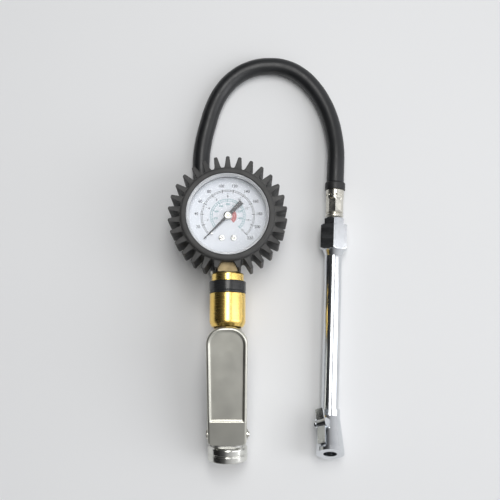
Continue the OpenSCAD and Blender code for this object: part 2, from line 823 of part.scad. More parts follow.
module port_ferrule() {
    groove_r = 0.6;
    color(nickel) port_frame() translate([0, 0, port_reach - port_ferrule_len]) difference() {
        cylinder(r = port_ferrule_r, h = port_ferrule_len);
        translate([0, 0, -cut]) cylinder(r = port_spigot_r, h = port_ferrule_len + 2 * cut);
        for (k = [1:3]) translate([0, 0, k * port_ferrule_len / 4])
            rotate_extrude() translate([port_ferrule_r, 0]) circle(r = groove_r);
    }
}

// ---- grip ----

module grip() {
    edge = 1;
    color(nickel) difference() {
        union() {
            barrel_frame() translate([0, 0, barrel_end - spigot_len + 0.5])
                cylinder(r = spigot_r, h = spigot_len);
            barrel_frame() translate([0, 0, barrel_end]) cylinder(r = neck_join_r, h = neck_join_len);
            grip_axis() translate([0, 0, grip_start]) linear_extrude(grip_len - butt_len - grip_start + 1)
                rounded_rect(grip_w, grip_d, grip_corner);
            grip_axis() translate([0, 0, grip_len - butt_len]) {
                cylinder(r1 = butt_r - edge, r2 = butt_r, h = edge);
                translate([0, 0, edge]) cylinder(r = butt_r, h = butt_len - edge);
            }
        }
        grip_frame() translate([-grip_w, -grip_len + butt_len, pivot_flat_n])
            cube([2 * grip_w, grip_len - butt_len - pivot_flat_start, grip_d]);
        grip_frame() translate([-grip_w, -pivot_s, pivot_n]) rotate([0, 90, 0])
            cylinder(r = lever_pin_r, h = 2 * grip_w);
        grip_axis() translate([0, 0, grip_len - bush_len]) cylinder(r = bush_r, h = bush_len + cut);
        grip_axis() translate([0, passage_n, valve_s])
            cylinder(r = passage_r, h = grip_len - bush_len - valve_s + cut);
        grip_axis() translate([0, seat_n + 1.5, -2]) cylinder(r = outlet_r, h = valve_s + 2);
        barrel_frame() translate([0, 0, barrel_end - spigot_len])
            cylinder(r = passage_r, h = spigot_len + 4);
        barrel_frame() translate([0, 0, barrel_end - spigot_len / 2 - spigot_oring])
            ring(spigot_r + cut, spigot_r - 2 * spigot_oring, 2 * spigot_oring);
        valve_frame() {
            translate([0, 0, -grip_d]) cylinder(r = chamber_r, h = grip_d + seat_n);
            cylinder(r = seat_r, h = gland_n);
            translate([0, 0, gland_n - 1]) cylinder(r = gland_r, h = grip_d);
        }
    }
}

module inlet_bush() {
    color(brass) grip_axis() translate([0, 0, grip_len - bush_len]) difference() {
        cylinder(r = bush_r, h = bush_len);
        translate([0, 0, -cut]) cylinder(r = passage_r - 0.5, h = bush_len);
        translate([0, 0, bush_len - inlet_depth - screen_drop]) cylinder(r = screen_r, h = inlet_depth);
        translate([0, 0, bush_len - inlet_depth]) cylinder(r = inlet_r, h = inlet_depth + cut);
    }
}

module inlet_screen() {
    hole_r = 0.45;
    pitch = 1.5;
    color(nickel) grip_axis() translate([0, 0, grip_len - inlet_depth - screen_drop]) difference() {
        cylinder(r = screen_r, h = screen_t);
        for (x = [-1:1], y = [-1:1])
            translate([pitch * x, pitch * y, -cut]) cylinder(r = hole_r, h = screen_t + 2 * cut);
    }
}

module valve_gland() {
    slot_w = 1;
    slot_depth = 0.8;
    color(brass) valve_frame() translate([0, 0, gland_n]) difference() {
        cylinder(r = gland_r, h = gland_top_n - gland_n);
        translate([0, 0, -cut]) cylinder(r = valve_pin_r + run_fit, h = grip_d);
        translate([-gland_r - cut, -slot_w / 2, gland_top_n - gland_n - slot_depth])
            cube([2 * gland_r + 2 * cut, slot_w, 1]);
    }
}

module gland_oring() {
    color(black) valve_frame() translate([0, 0, gland_n - oring_wire])
        oring(valve_pin_r + run_fit + oring_wire, oring_wire);
}

module valve_pin() {
    top_n = valve_contact_n - gap;
    color(nickel) valve_frame() {
        translate([0, 0, valve_tail_n]) cylinder(r = valve_pin_r, h = top_n - valve_pin_r - valve_tail_n);
        translate([0, 0, top_n - valve_pin_r]) sphere(r = valve_pin_r);
        translate([0, 0, flange_n - flange_t]) cylinder(r = flange_r, h = flange_t);
    }
}

module valve_seal() {
    color(black) valve_frame() translate([0, 0, flange_n])
        ring(flange_r + 0.2, valve_pin_r, seat_n - flange_n - run_fit);
}

module valve_spring() {
    room = 0.05;
    color(nickel) valve_frame() translate([0, 0, cap_top_n + room])
        coil(chamber_r - 1.5, spring_wire_r, flange_n - flange_t - cap_top_n - 2 * room, spring_turns);
}

module valve_cap() {
    slot_w = 1.2;
    color(brass) valve_frame() translate([0, 0, -grip_top]) difference() {
        cylinder(r = chamber_r, h = grip_top + cap_top_n);
        translate([-chamber_r - cut, -slot_w / 2, -cut]) cube([2 * chamber_r + 2 * cut, slot_w, 1]);
    }
}

// ---- lever ----

// The lever's outline seen on its face, drawn in by a margin and cut off at its lower end
module lever_outline(margin, from) {
    arch_y = lever_reach - arch_r;
    slope = atan((lever_w - lever_pivot_w) / 2 / arch_y);
    arch_x = lever_pivot_w / 2 + arch_y * tan(slope) - arch_r / cos(slope);
    half_low = lever_pivot_w / 2 + from * tan(slope) - margin / cos(slope);
    steps = 12;
    right = [for (i = [0:steps]) let (a = -slope + (90 + slope) * i / steps)
        [arch_x + (arch_r - margin) * cos(a), arch_y + (arch_r - margin) * sin(a)]];
    left = [for (i = [steps:-1:0]) [-right[i][0], right[i][1]]];
    polygon(concat([[-half_low, from], [half_low, from]], right, left));
}

// A side view drawn as [y, z] points, made as wide as the lever and more
module side_view(points) {
    translate([-lever_w, 0, 0]) rotate([90, 0, 90]) linear_extrude(2 * lever_w) polygon(points);
}

module trigger_lever() {
    over = 2;
    fall = tan(facet_angle);
    facet_under = rim_h - lever_t / cos(facet_angle);
    facet_meets = bend_at - (facet_under - panel_under) / fall;
    color(nickel) lever_frame() difference() {
        intersection() {
            translate([0, 0, -wall_drop - over]) linear_extrude(rim_h + wall_drop + 2 * over)
                lever_outline(0, low_end);
            side_view([[low_end - over, rim_h - fall * (bend_at - low_end + over)], [bend_at, rim_h],
                [lever_reach + over, rim_h], [lever_reach + over, rim_h - end_drop],
                [wall_full_at, -wall_drop], [low_end + 3, -wall_drop],
                [low_end - over, -wall_drop + 3 + over]]);
        }
        intersection() {
            translate([0, 0, -wall_drop - over]) linear_extrude(rim_h + wall_drop + over)
                lever_outline(lever_t, low_end - over);
            side_view([[low_end - 2 * over, facet_under - fall * (bend_at - low_end + 2 * over)],
                [facet_meets, panel_under], [lever_reach, panel_under],
                [lever_reach, -wall_drop - 2 * over], [low_end - 2 * over, -wall_drop - 2 * over]]);
        }
        translate([0, 0, rim_h - dish_depth]) linear_extrude(over) lever_outline(rim_w, bend_at + 1);
        translate([-lever_w, 0, 0]) rotate([0, 90, 0]) cylinder(r = lever_pin_r + run_fit, h = 2 * lever_w);
    }
}

module lever_pin() {
    half = lever_pivot_w / 2 + washer_play;
    grip_frame() translate([0, -pivot_s, pivot_n]) rotate([0, 90, 0]) color(chrome) difference() {
        union() {
            translate([0, 0, -half]) cylinder(r = lever_pin_r, h = 2 * half + 3 * clip_t);
            translate([0, 0, -half - pin_head_t]) cylinder(r = pin_head_r, h = pin_head_t);
        }
        translate([0, 0, half]) ring(lever_pin_r + 1, lever_pin_r - 0.4, clip_t);
    }
}

module pin_clip() {
    half = lever_pivot_w / 2 + washer_play;
    grip_frame() translate([0, -pivot_s, pivot_n]) rotate([0, 90, 0]) color(nickel)
        translate([0, 0, half]) ring(lever_pin_r + 1.6, lever_pin_r - 0.4, clip_t);
}

// ---- hose and chuck ----

module hose() {
    color(black) placed()
        sweep_bar(smooth_route(hose_route, hose_steps), hose_r, hose_sides, [port_dir, chuck_dir]);
}

module hose_collar() {
    edge = 0.8;
    color(black) chuck_frame() rotate_extrude() polygon([
        [insert_r, 0], [collar_r - edge, 0], [collar_r, edge], [collar_r, collar_len],
        [insert_r, collar_len]]);
}

module hose_ferrule() {
    crimp = [13, 23];
    groove = 0.9;
    first_ring = 6;
    end_ring = 2.4;
    color(nickel) chuck_frame() difference() {
        union() {
            translate([0, 0, collar_len]) cylinder(r = ferrule_r, h = first_ring);
            translate([0, 0, collar_len]) cylinder(r = ferrule_r - groove, h = ferrule_end - collar_len);
            translate([0, 0, crimp[0]]) cylinder(r = ferrule_r, h = crimp[1] - crimp[0], $fn = 8);
            translate([0, 0, crimp[1] + 1]) cylinder(r = ferrule_r, h = end_ring);
        }
        translate([0, 0, -cut]) cylinder(r = insert_r, h = ferrule_end + 1);
    }
}

module hose_nut() {
    thread_len = 9.6;
    color(chrome) chuck_frame() difference() {
        union() {
            translate([0, 0, ferrule_end]) hexagon(nut_af, nut_end - ferrule_end);
            cylinder(r = insert_r, h = ferrule_end + cut);
            translate([0, 0, nut_end - cut]) cylinder(r = chuck_thread_r, h = thread_len);
        }
        translate([0, 0, -cut]) cylinder(r = insert_r - 1.2, h = nut_end + 20);
    }
}

module chuck_hex() {
    corner = hex_af / sqrt(3);
    bevel = 1.6;
    neck_r2 = stem_tube_r + 0.3;
    color(chrome) chuck_frame() difference() {
        union() {
            intersection() {
                translate([0, 0, nut_end]) hexagon(hex_af, hex_end - nut_end);
                translate([0, 0, nut_end]) {
                    cylinder(r1 = corner - bevel / 2, r2 = corner, h = bevel / 2);
                    translate([0, 0, bevel / 2])
                        cylinder(r = corner + cut, h = hex_end - nut_end - 3 * bevel / 2);
                    translate([0, 0, hex_end - nut_end - bevel])
                        cylinder(r1 = corner, r2 = corner - bevel, h = bevel);
                }
            }
            translate([0, 0, hex_end - cut])
                cylinder(r1 = hex_af / 2 - 1, r2 = neck_r2, h = hex_neck_end - hex_end + cut);
        }
        translate([0, 0, nut_end - cut]) cylinder(r = chuck_thread_r, h = 10 + cut);
        translate([0, 0, nut_end]) cylinder(r = chuck_bore_r, h = 30);
        translate([0, 0, hex_neck_end - tube_tail]) cylinder(r = chuck_thread_r, h = tube_tail + cut);
    }
}

module chuck_tube() {
    color(chrome) chuck_frame() difference() {
        union() {
            translate([0, 0, hex_neck_end]) cylinder(r = stem_tube_r, h = tube_stop - hex_neck_end);
            translate([0, 0, hex_neck_end - tube_tail + 0.5]) cylinder(r = chuck_thread_r, h = tube_tail);
        }
        translate([0, 0, hex_neck_end - tube_tail]) cylinder(r = tube_in_r, h = tube_stop);
    }
}

module chuck_head() {
    face_len = 3;
    bore = tube_in_r - 1;
    ear_r = 3;
    ear_root = 5;
    color(chrome) difference() {
        union() {
            chuck_frame() translate([0, 0, tube_stop - head_lap])
                cylinder(r = head_collar_r, h = head_at - tube_stop + head_lap);
            chuck_frame() translate([0, 0, head_at]) sphere(r = head_collar_r);
            head_frame() cylinder(r1 = head_collar_r, r2 = face_r, h = head_len - face_len);
            head_frame() translate([0, 0, head_len - face_len]) cylinder(r = face_r, h = face_len);
            clip_frame() for (side = [-1, 1])
                translate([side * (clip_w / 2 + run_fit + ear_t / 2) - ear_t / 2, 0, clip_pivot_z]) {
                    translate([0, ear_root, -ear_r]) cube([ear_t, clip_pivot_y - ear_root, 2 * ear_r]);
                    translate([0, clip_pivot_y, 0]) rotate([0, 90, 0]) cylinder(r = ear_r, h = ear_t);
                }
        }
        chuck_frame() translate([0, 0, tube_stop - 2 * head_lap])
            cylinder(r = stem_tube_r, h = 2 * head_lap);
        chuck_frame() translate([0, 0, tube_stop - 1]) cylinder(r = bore, h = head_at - tube_stop + 1);
        chuck_frame() translate([0, 0, head_at]) sphere(r = bore);
        head_frame() cylinder(r = bore, h = seal_z + cut);
        head_frame() translate([0, 0, seal_z]) cylinder(r = seal_r, h = socket_floor - seal_z + cut);
        head_frame() translate([0, 0, socket_floor]) cylinder(r = socket_r, h = head_len);
        clip_frame() translate([-claw_w / 2 - gap, socket_r - 1, claw_z[0] - 1.2])
            cube([claw_w + 2 * gap, face_r, claw_z[1] - claw_z[0] + 3]);
        clip_frame() translate([-clip_w, clip_pivot_y, clip_pivot_z]) rotate([0, 90, 0])
            cylinder(r = clip_pin_r, h = 2 * clip_w);
    }
}

module chuck_seal() {
    color(black) head_frame() translate([0, 0, seal_z]) ring(seal_r, 1.6, seal_t);
}

module core_pin() {
    stem_r = 1;
    foot_r = tube_in_r - 1;
    color(brass) head_frame() difference() {
        union() {
            translate([0, 0, seal_z - 5]) cylinder(r = stem_r, h = 5 + seal_t - 0.2);
            translate([0, 0, seal_z - 3]) cylinder(r = foot_r, h = 1.5);
        }
        for (a = [0:120:240]) rotate([0, 0, a]) translate([1.75, 0, seal_z - 4]) cylinder(r = 0.6, h = 3);
    }
}

module clip_lever() {
    t = 1.3;
    arm_y = clip_pivot_y - t / 2;
    tip = claw_z[1];
    color(chrome) clip_frame() difference() {
        union() {
            translate([-clip_w / 2, 0, 0]) rotate([90, 0, 90]) linear_extrude(clip_w) {
                polygon([[arm_y, clip_pivot_z], [arm_y, tip], [arm_y + t, tip],
                    [arm_y + t, clip_pivot_z + 2], [clip_pivot_y + 3.6, -1.5],
                    [clip_pivot_y + 2.3, -1.5]]);
                translate([clip_pivot_y, clip_pivot_z]) circle(r = 2.6);
            }
            translate([-claw_w / 2, socket_r + 0.2, tip - t]) cube([claw_w, arm_y - socket_r, t]);
        }
        translate([-clip_w, clip_pivot_y, clip_pivot_z]) rotate([0, 90, 0])
            cylinder(r = clip_pin_r + run_fit, h = 2 * clip_w);
        translate([-clip_w / 4, clip_pivot_y, clip_pivot_z]) rotate([0, 90, 0])
            cylinder(r = clip_pin_r + 1, h = clip_w / 2);
    }
}

module clip_pin() {
    half = clip_w / 2 + run_fit + ear_t;
    color(chrome) clip_frame() translate([-half, clip_pivot_y, clip_pivot_z]) rotate([0, 90, 0])
        cylinder(r = clip_pin_r, h = 2 * half);
}

module clip_spring() {
    wire = 0.3;
    color(nickel) clip_frame() translate([-clip_w / 4 + gap, clip_pivot_y, clip_pivot_z]) rotate([0, 90, 0])
        coil(clip_pin_r + 0.1 + wire, wire, clip_w / 2 - 2 * gap, 3);
}

rubber_boot();
gauge_case();
gauge_lens();
lens_gasket();
dial_plate();
dial_screws();
pointer();
stop_pin();
bourdon_tube();
tube_tip();
link();
sector_gear();
pinion_shaft();
hairspring();
back_plate();
front_plate();
plate_pillars();
plate_screws();
gauge_socket();
stem_washer();
cap_ring();
neck_band();
barrel();
barrel_oring();
hose_port();
port_ferrule();
grip();
inlet_bush();
inlet_screen();
valve_gland();
gland_oring();
valve_pin();
valve_seal();
valve_spring();
valve_cap();
trigger_lever();
lever_pin();
pin_clip();
hose();
hose_collar();
hose_ferrule();
hose_nut();
chuck_hex();
chuck_tube();
chuck_head();
chuck_seal();
core_pin();
clip_lever();
clip_pin();
clip_spring();
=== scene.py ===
import json
from math import atan2, cos, pi, radians, sin, tan

import bmesh
import bpy
from mathutils import Matrix, Vector


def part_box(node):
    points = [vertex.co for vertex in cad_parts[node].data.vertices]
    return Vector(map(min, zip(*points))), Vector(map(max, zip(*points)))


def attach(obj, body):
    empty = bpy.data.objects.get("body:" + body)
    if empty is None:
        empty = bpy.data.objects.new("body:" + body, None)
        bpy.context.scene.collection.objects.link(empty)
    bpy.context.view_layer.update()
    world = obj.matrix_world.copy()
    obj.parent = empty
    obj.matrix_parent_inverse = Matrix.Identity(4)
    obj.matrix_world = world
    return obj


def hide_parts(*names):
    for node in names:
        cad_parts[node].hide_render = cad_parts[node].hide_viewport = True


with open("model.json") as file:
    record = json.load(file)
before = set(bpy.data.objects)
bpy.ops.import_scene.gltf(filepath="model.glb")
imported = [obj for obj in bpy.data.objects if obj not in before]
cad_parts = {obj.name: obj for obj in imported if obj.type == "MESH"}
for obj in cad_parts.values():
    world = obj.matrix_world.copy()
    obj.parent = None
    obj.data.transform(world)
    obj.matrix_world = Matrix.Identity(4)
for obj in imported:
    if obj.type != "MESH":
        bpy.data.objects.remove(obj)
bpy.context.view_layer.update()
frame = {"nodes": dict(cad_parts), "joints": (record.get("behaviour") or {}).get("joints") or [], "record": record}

print("inflator: frame loaded")
mm = 0.001
scene = bpy.context.scene
nodes = frame["nodes"]
joints = {joint["name"]: joint for joint in frame["joints"]}
mounts = {mount["name"]: mount for mount in frame["record"]["mounts"]}


# places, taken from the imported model

def middle(node):
    low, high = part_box(node)
    return (low + high) / 2


def turned(degrees, axis):
    return Matrix.Rotation(radians(degrees), 4, axis)


def moved(x, y, z):
    return Matrix.Translation((x * mm, y * mm, z * mm))


gaugeAt = Vector(joints["pointer_turn"]["pos_m"]) * Vector((1, 1, 0))
axisHeight = middle("cap_ring").z
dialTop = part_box("dial_plate")[1].z / mm
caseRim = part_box("gauge_case")[1].z / mm
bootBack, bootFront = (corner.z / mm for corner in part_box("rubber_boot"))
gaugeFrame = Matrix.Translation(gaugeAt)
# +Z of this one runs from the gauge to the butt
barrelFrame = Matrix.Translation(gaugeAt + Vector((0, 0, axisHeight))) @ turned(90, "X")
inletAxis = Vector(mounts["air_inlet"]["axis"])
gripTilt = atan2(-inletAxis.z, -inletAxis.y) * 180 / pi
gripFrame = Matrix.Translation((gaugeAt.x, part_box("barrel")[0].y, axisHeight)) @ turned(gripTilt, "X")
gripAlong = gripFrame @ turned(90, "X")                # +Z runs to the butt and +Y faces the lever
leverTravel = -joints["lever_press"]["range_deg"][0]
leverFrame = Matrix.Translation(joints["lever_press"]["pos_m"]) @ turned(gripTilt + leverTravel, "X")


# camera

cameraSet = {
    "lens": 60.5,          # mm on a 36 mm sensor
    "height": 80,          # degrees above the floor
    "away": 0.63,          # metres from the point that it looks at
    "aim": (15.75, -17.5), # mm from the gauge's centre, on the floor
}


def makeCamera(s):
    data = bpy.data.cameras.new("camera")
    data.lens = s["lens"]
    data.clip_start = 0.01
    camera = bpy.data.objects.new("camera", data)
    scene.collection.objects.link(camera)
    back = Vector((0, -cos(radians(s["height"])), sin(radians(s["height"]))))
    aim = gaugeAt + Vector((s["aim"][0] * mm, s["aim"][1] * mm, 0))
    camera.location = aim + back * s["away"]
    camera.rotation_euler = (-back).to_track_quat("-Z", "Y").to_euler()
    scene.camera = camera


makeCamera(cameraSet)


# hose

hoseSet = {
    "radius": 6.4,
    "route": [  # mm from the gauge's centre, out of the port, under the gauge and round to the chuck
        (-6.5, -34, 8), (-9.2, -23, 7.8), (-12.6, -8, 7), (-16, 8, 6.5), (-19, 24, 6.5), (-20.8, 38, 6.5),
        (-21, 52, 6.5), (-19.4, 65, 6.5), (-16.4, 78, 6.5), (-12, 92.5, 6.5), (-5, 106, 6.5), (5, 116.5, 6.5),
        (17, 123, 6.5), (30, 125.2, 6.5), (43, 123.6, 6.5), (54.5, 117.6, 6.5), (64.5, 107.4, 6.5),
        (72, 95, 6.6), (76.8, 82, 7.4), (79.4, 68.5, 9), (80.3, 55, 11), (79.8, 43, 12.1), (79.2, 31, 12.4)],
    "length": 0.306,       # metres along the route
}


def makeHose(s):
    points = [gaugeAt + Vector(p) * mm for p in s["route"]]
    data = bpy.data.curves.new("airHose", "CURVE")
    data.dimensions = "3D"
    data.bevel_depth = s["radius"] * mm
    data.bevel_resolution = 8
    data.resolution_u = 8
    data.use_fill_caps = True
    line = data.splines.new("BEZIER")
    line.bezier_points.add(len(points) - 1)
    for knot, point in zip(line.bezier_points, points):
        knot.co = point
        knot.handle_left_type = knot.handle_right_type = "AUTO"
    line.use_smooth = True
    piece = bpy.data.objects.new("airHose", data)
    scene.collection.objects.link(piece)
    return piece, points


airHose, hosePoints = makeHose(hoseSet)
print("inflator: camera and hose placed")

chuckSet = {"yaw": 2.2, "dip": 1.6}       # degrees that the chuck turns and falls from the hose's end
chuckLean = turned(-chuckSet["yaw"], "Z") @ turned(90 + chuckSet["dip"], "X")
chuckFrame = Matrix.Translation(hosePoints[-1]) @ chuckLean


# mesh tools: outlines are in millimetres in the frame that they're given

def softened(points, radius, steps=4):    # rounds corners; a point's third number is its own radius
    out = []
    for i, p in enumerate(points):
        here = Vector(p[:2])
        r = p[2] if len(p) > 2 else radius
        back = Vector(points[i - 1][:2]) - here
        on = Vector(points[(i + 1) % len(points)][:2]) - here
        if r <= 0 or here.x < 1e-6:
            out.append(here)
            continue
        a = here + back.normalized() * min(r, back.length * 0.46)
        b = here + on.normalized() * min(r, on.length * 0.46)
        for k in range(steps + 1):
            t = k / steps
            out.append(a * (1 - t) ** 2 + here * 2 * t * (1 - t) + b * t * t)
    return out


def made(name, bm, place, sharp=32):
    bmesh.ops.recalc_face_normals(bm, faces=bm.faces)
    mesh = bpy.data.meshes.new(name)
    bm.to_mesh(mesh)
    bm.free()
    mesh.transform(place @ Matrix.Scale(mm, 4))
    mesh.shade_smooth()
    mesh.set_sharp_from_angle(angle=radians(sharp))
    piece = bpy.data.objects.new(name, mesh)
    scene.collection.objects.link(piece)
    even = piece.modifiers.new("even", "WEIGHTED_NORMAL")
    even.keep_sharp = True
    return piece


def spinInto(bm, outline, sides=96, shape=None):       # turns a closed (radius, height) outline
    rings = []
    for r, z in outline:
        if r < 1e-6:
            rings.append([bm.verts.new((0, 0, z))] * sides)
            continue
        ring = []
        for k in range(sides):
            a = 2 * pi * k / sides
            out = shape(r, z, a) if shape else r
            ring.append(bm.verts.new((out * cos(a), out * sin(a), z)))
        rings.append(ring)
    for one, two in zip(rings, rings[1:] + rings[:1]):
        if one[0] is one[1] and two[0] is two[1]:
            continue
        for k in range(sides):
            n = (k + 1) % sides
            corners = list(dict.fromkeys((one[k], one[n], two[n], two[k])))
            bm.faces.new(corners)


def spun(name, outline, place, sides=96, shape=None, sharp=32):
    bm = bmesh.new()
    spinInto(bm, outline, sides, shape)
    return made(name, bm, place, sharp)


def slabInto(bm, outline, low, high, edge=0.0, steps=3, place=None):   # a flat outline made thick along Z
    base = [bm.verts.new((x, y, low)) for x, y in outline]
    top = [bm.verts.new((x, y, high)) for x, y in outline]
    faces = [bm.faces.new(list(reversed(base))), bm.faces.new(top)]
    for i in range(len(outline)):
        n = (i + 1) % len(outline)
        faces.append(bm.faces.new((base[i], base[n], top[n], top[i])))
    bmesh.ops.recalc_face_normals(bm, faces=faces)
    new = set(base + top)
    if edge > 0:
        rims = [e for f in faces[:2] for e in f.edges]
        got = bmesh.ops.bevel(bm, geom=rims, offset=edge, segments=steps, profile=0.5, affect="EDGES",
                              clamp_overlap=True)
        new = {v for v in new if v.is_valid} | set(got["verts"])
    if place is not None:
        for v in new:
            v.co = place @ v.co


def slab(name, outline, low, high, place, edge=0.0, steps=3, sharp=32):
    bm = bmesh.new()
    slabInto(bm, outline, low, high, edge, steps)
    return made(name, bm, place, sharp)


def carved(piece, cutter):                # cuts one mesh with another, which is then thrown away
    hole = piece.modifiers.new("cut", "BOOLEAN")
    hole.operation = "DIFFERENCE"
    hole.solver = "EXACT"
    hole.object = cutter
    for other in list(piece.modifiers):
        if other.type == "WEIGHTED_NORMAL":
            piece.modifiers.remove(other)
    view = bpy.context.evaluated_depsgraph_get()
    mesh = bpy.data.meshes.new_from_object(piece.evaluated_get(view))
    piece.modifiers.clear()
    piece.data = mesh
    mesh.shade_smooth()
    mesh.set_sharp_from_angle(angle=radians(32))
    bpy.data.objects.remove(cutter)
    even = piece.modifiers.new("even", "WEIGHTED_NORMAL")
    even.keep_sharp = True
    return piece


def arcOf(radius, start, end, steps):
    return [(radius * cos(radians(start + (end - start) * k / steps)),
             radius * sin(radians(start + (end - start) * k / steps))) for k in range(steps + 1)]


# finishes

def finish(name, s):
    paint = bpy.data.materials.new(name)
    paint.use_nodes = True
    tree = paint.node_tree
    shader = tree.nodes["Principled BSDF"]
    where = tree.nodes.new("ShaderNodeTexCoord")
    spread = tree.nodes.new("ShaderNodeMapping")
    spread.inputs["Scale"].default_value = s.get("stretch", (1, 1, 1))
    tree.links.new(where.outputs["Object"], spread.inputs["Vector"])

    def noise(scale, detail, vector):
        n = tree.nodes.new("ShaderNodeTexNoise")
        n.inputs["Scale"].default_value = scale
        n.inputs["Detail"].default_value = detail
        tree.links.new(vector, n.inputs["Vector"])
        return n.outputs["Fac"]

    tone = tree.nodes.new("ShaderNodeValToRGB")         # cloudy change of tone
    tone.color_ramp.elements[0].position = 0.32
    tone.color_ramp.elements[1].position = 0.68
    tone.color_ramp.elements[0].color = (*s["colour"], 1)
    tone.color_ramp.elements[1].color = (*s["tone"], 1)
    tree.links.new(noise(s.get("toneScale", 60), 4, where.outputs["Object"]), tone.inputs["Fac"])
    colour = tone.outputs["Color"]
    # painted highlight: sharp outer edges get a lighter colour, standing in for light catching them
    if "paintedEdgeHighlight" in s:                                    # a lighter or darker colour along the edges
        shape = tree.nodes.new("ShaderNodeNewGeometry")
        edge = tree.nodes.new("ShaderNodeMapRange")
        edge.inputs["From Min"].default_value = s.get("paintedEdgeHighlightFrom", 0.52)
        edge.inputs["From Max"].default_value = s.get("paintedEdgeHighlightTo", 0.60)
        tree.links.new(shape.outputs["Pointiness"], edge.inputs["Value"])
        blend = tree.nodes.new("ShaderNodeMix")
        blend.data_type = "RGBA"
        for socket in blend.inputs:
            if socket.name == "B" and socket.type == "RGBA":
                socket.default_value = (*s["paintedEdgeHighlight"], 1)
            if socket.name == "A" and socket.type == "RGBA":
                tree.links.new(colour, socket)
        tree.links.new(edge.outputs["Result"], blend.inputs["Factor"])
        colour = next(o for o in blend.outputs if o.type == "RGBA")
    tree.links.new(colour, shader.inputs["Base Color"])
    rough = tree.nodes.new("ShaderNodeMapRange")
    rough.inputs["From Min"].default_value = 0.3
    rough.inputs["From Max"].default_value = 0.7
    rough.inputs["To Min"].default_value = s["rough"][0]
    rough.inputs["To Max"].default_value = s["rough"][1]
    tree.links.new(noise(s.get("roughScale", 180), 5, spread.outputs["Vector"]), rough.inputs["Value"])
    tree.links.new(rough.outputs["Result"], shader.inputs["Roughness"])
    bump = tree.nodes.new("ShaderNodeBump")
    bump.inputs["Strength"].default_value = s.get("bump", 0.1)
    bump.inputs["Distance"].default_value = s.get("depth", 0.0002)
    tree.links.new(noise(s.get("grain", 900), 6, spread.outputs["Vector"]), bump.inputs["Height"])
    tree.links.new(bump.outputs["Normal"], shader.inputs["Normal"])
    shader.inputs["Metallic"].default_value = s.get("metal", 0)
    shader.inputs["Specular IOR Level"].default_value = s.get("shine", 0.5)
    shader.inputs["Coat Weight"].default_value = s.get("coat", 0)
    shader.inputs["Coat Roughness"].default_value = 0.1
    shader.inputs["Alpha"].default_value = s.get("alpha", 1)
    return paint


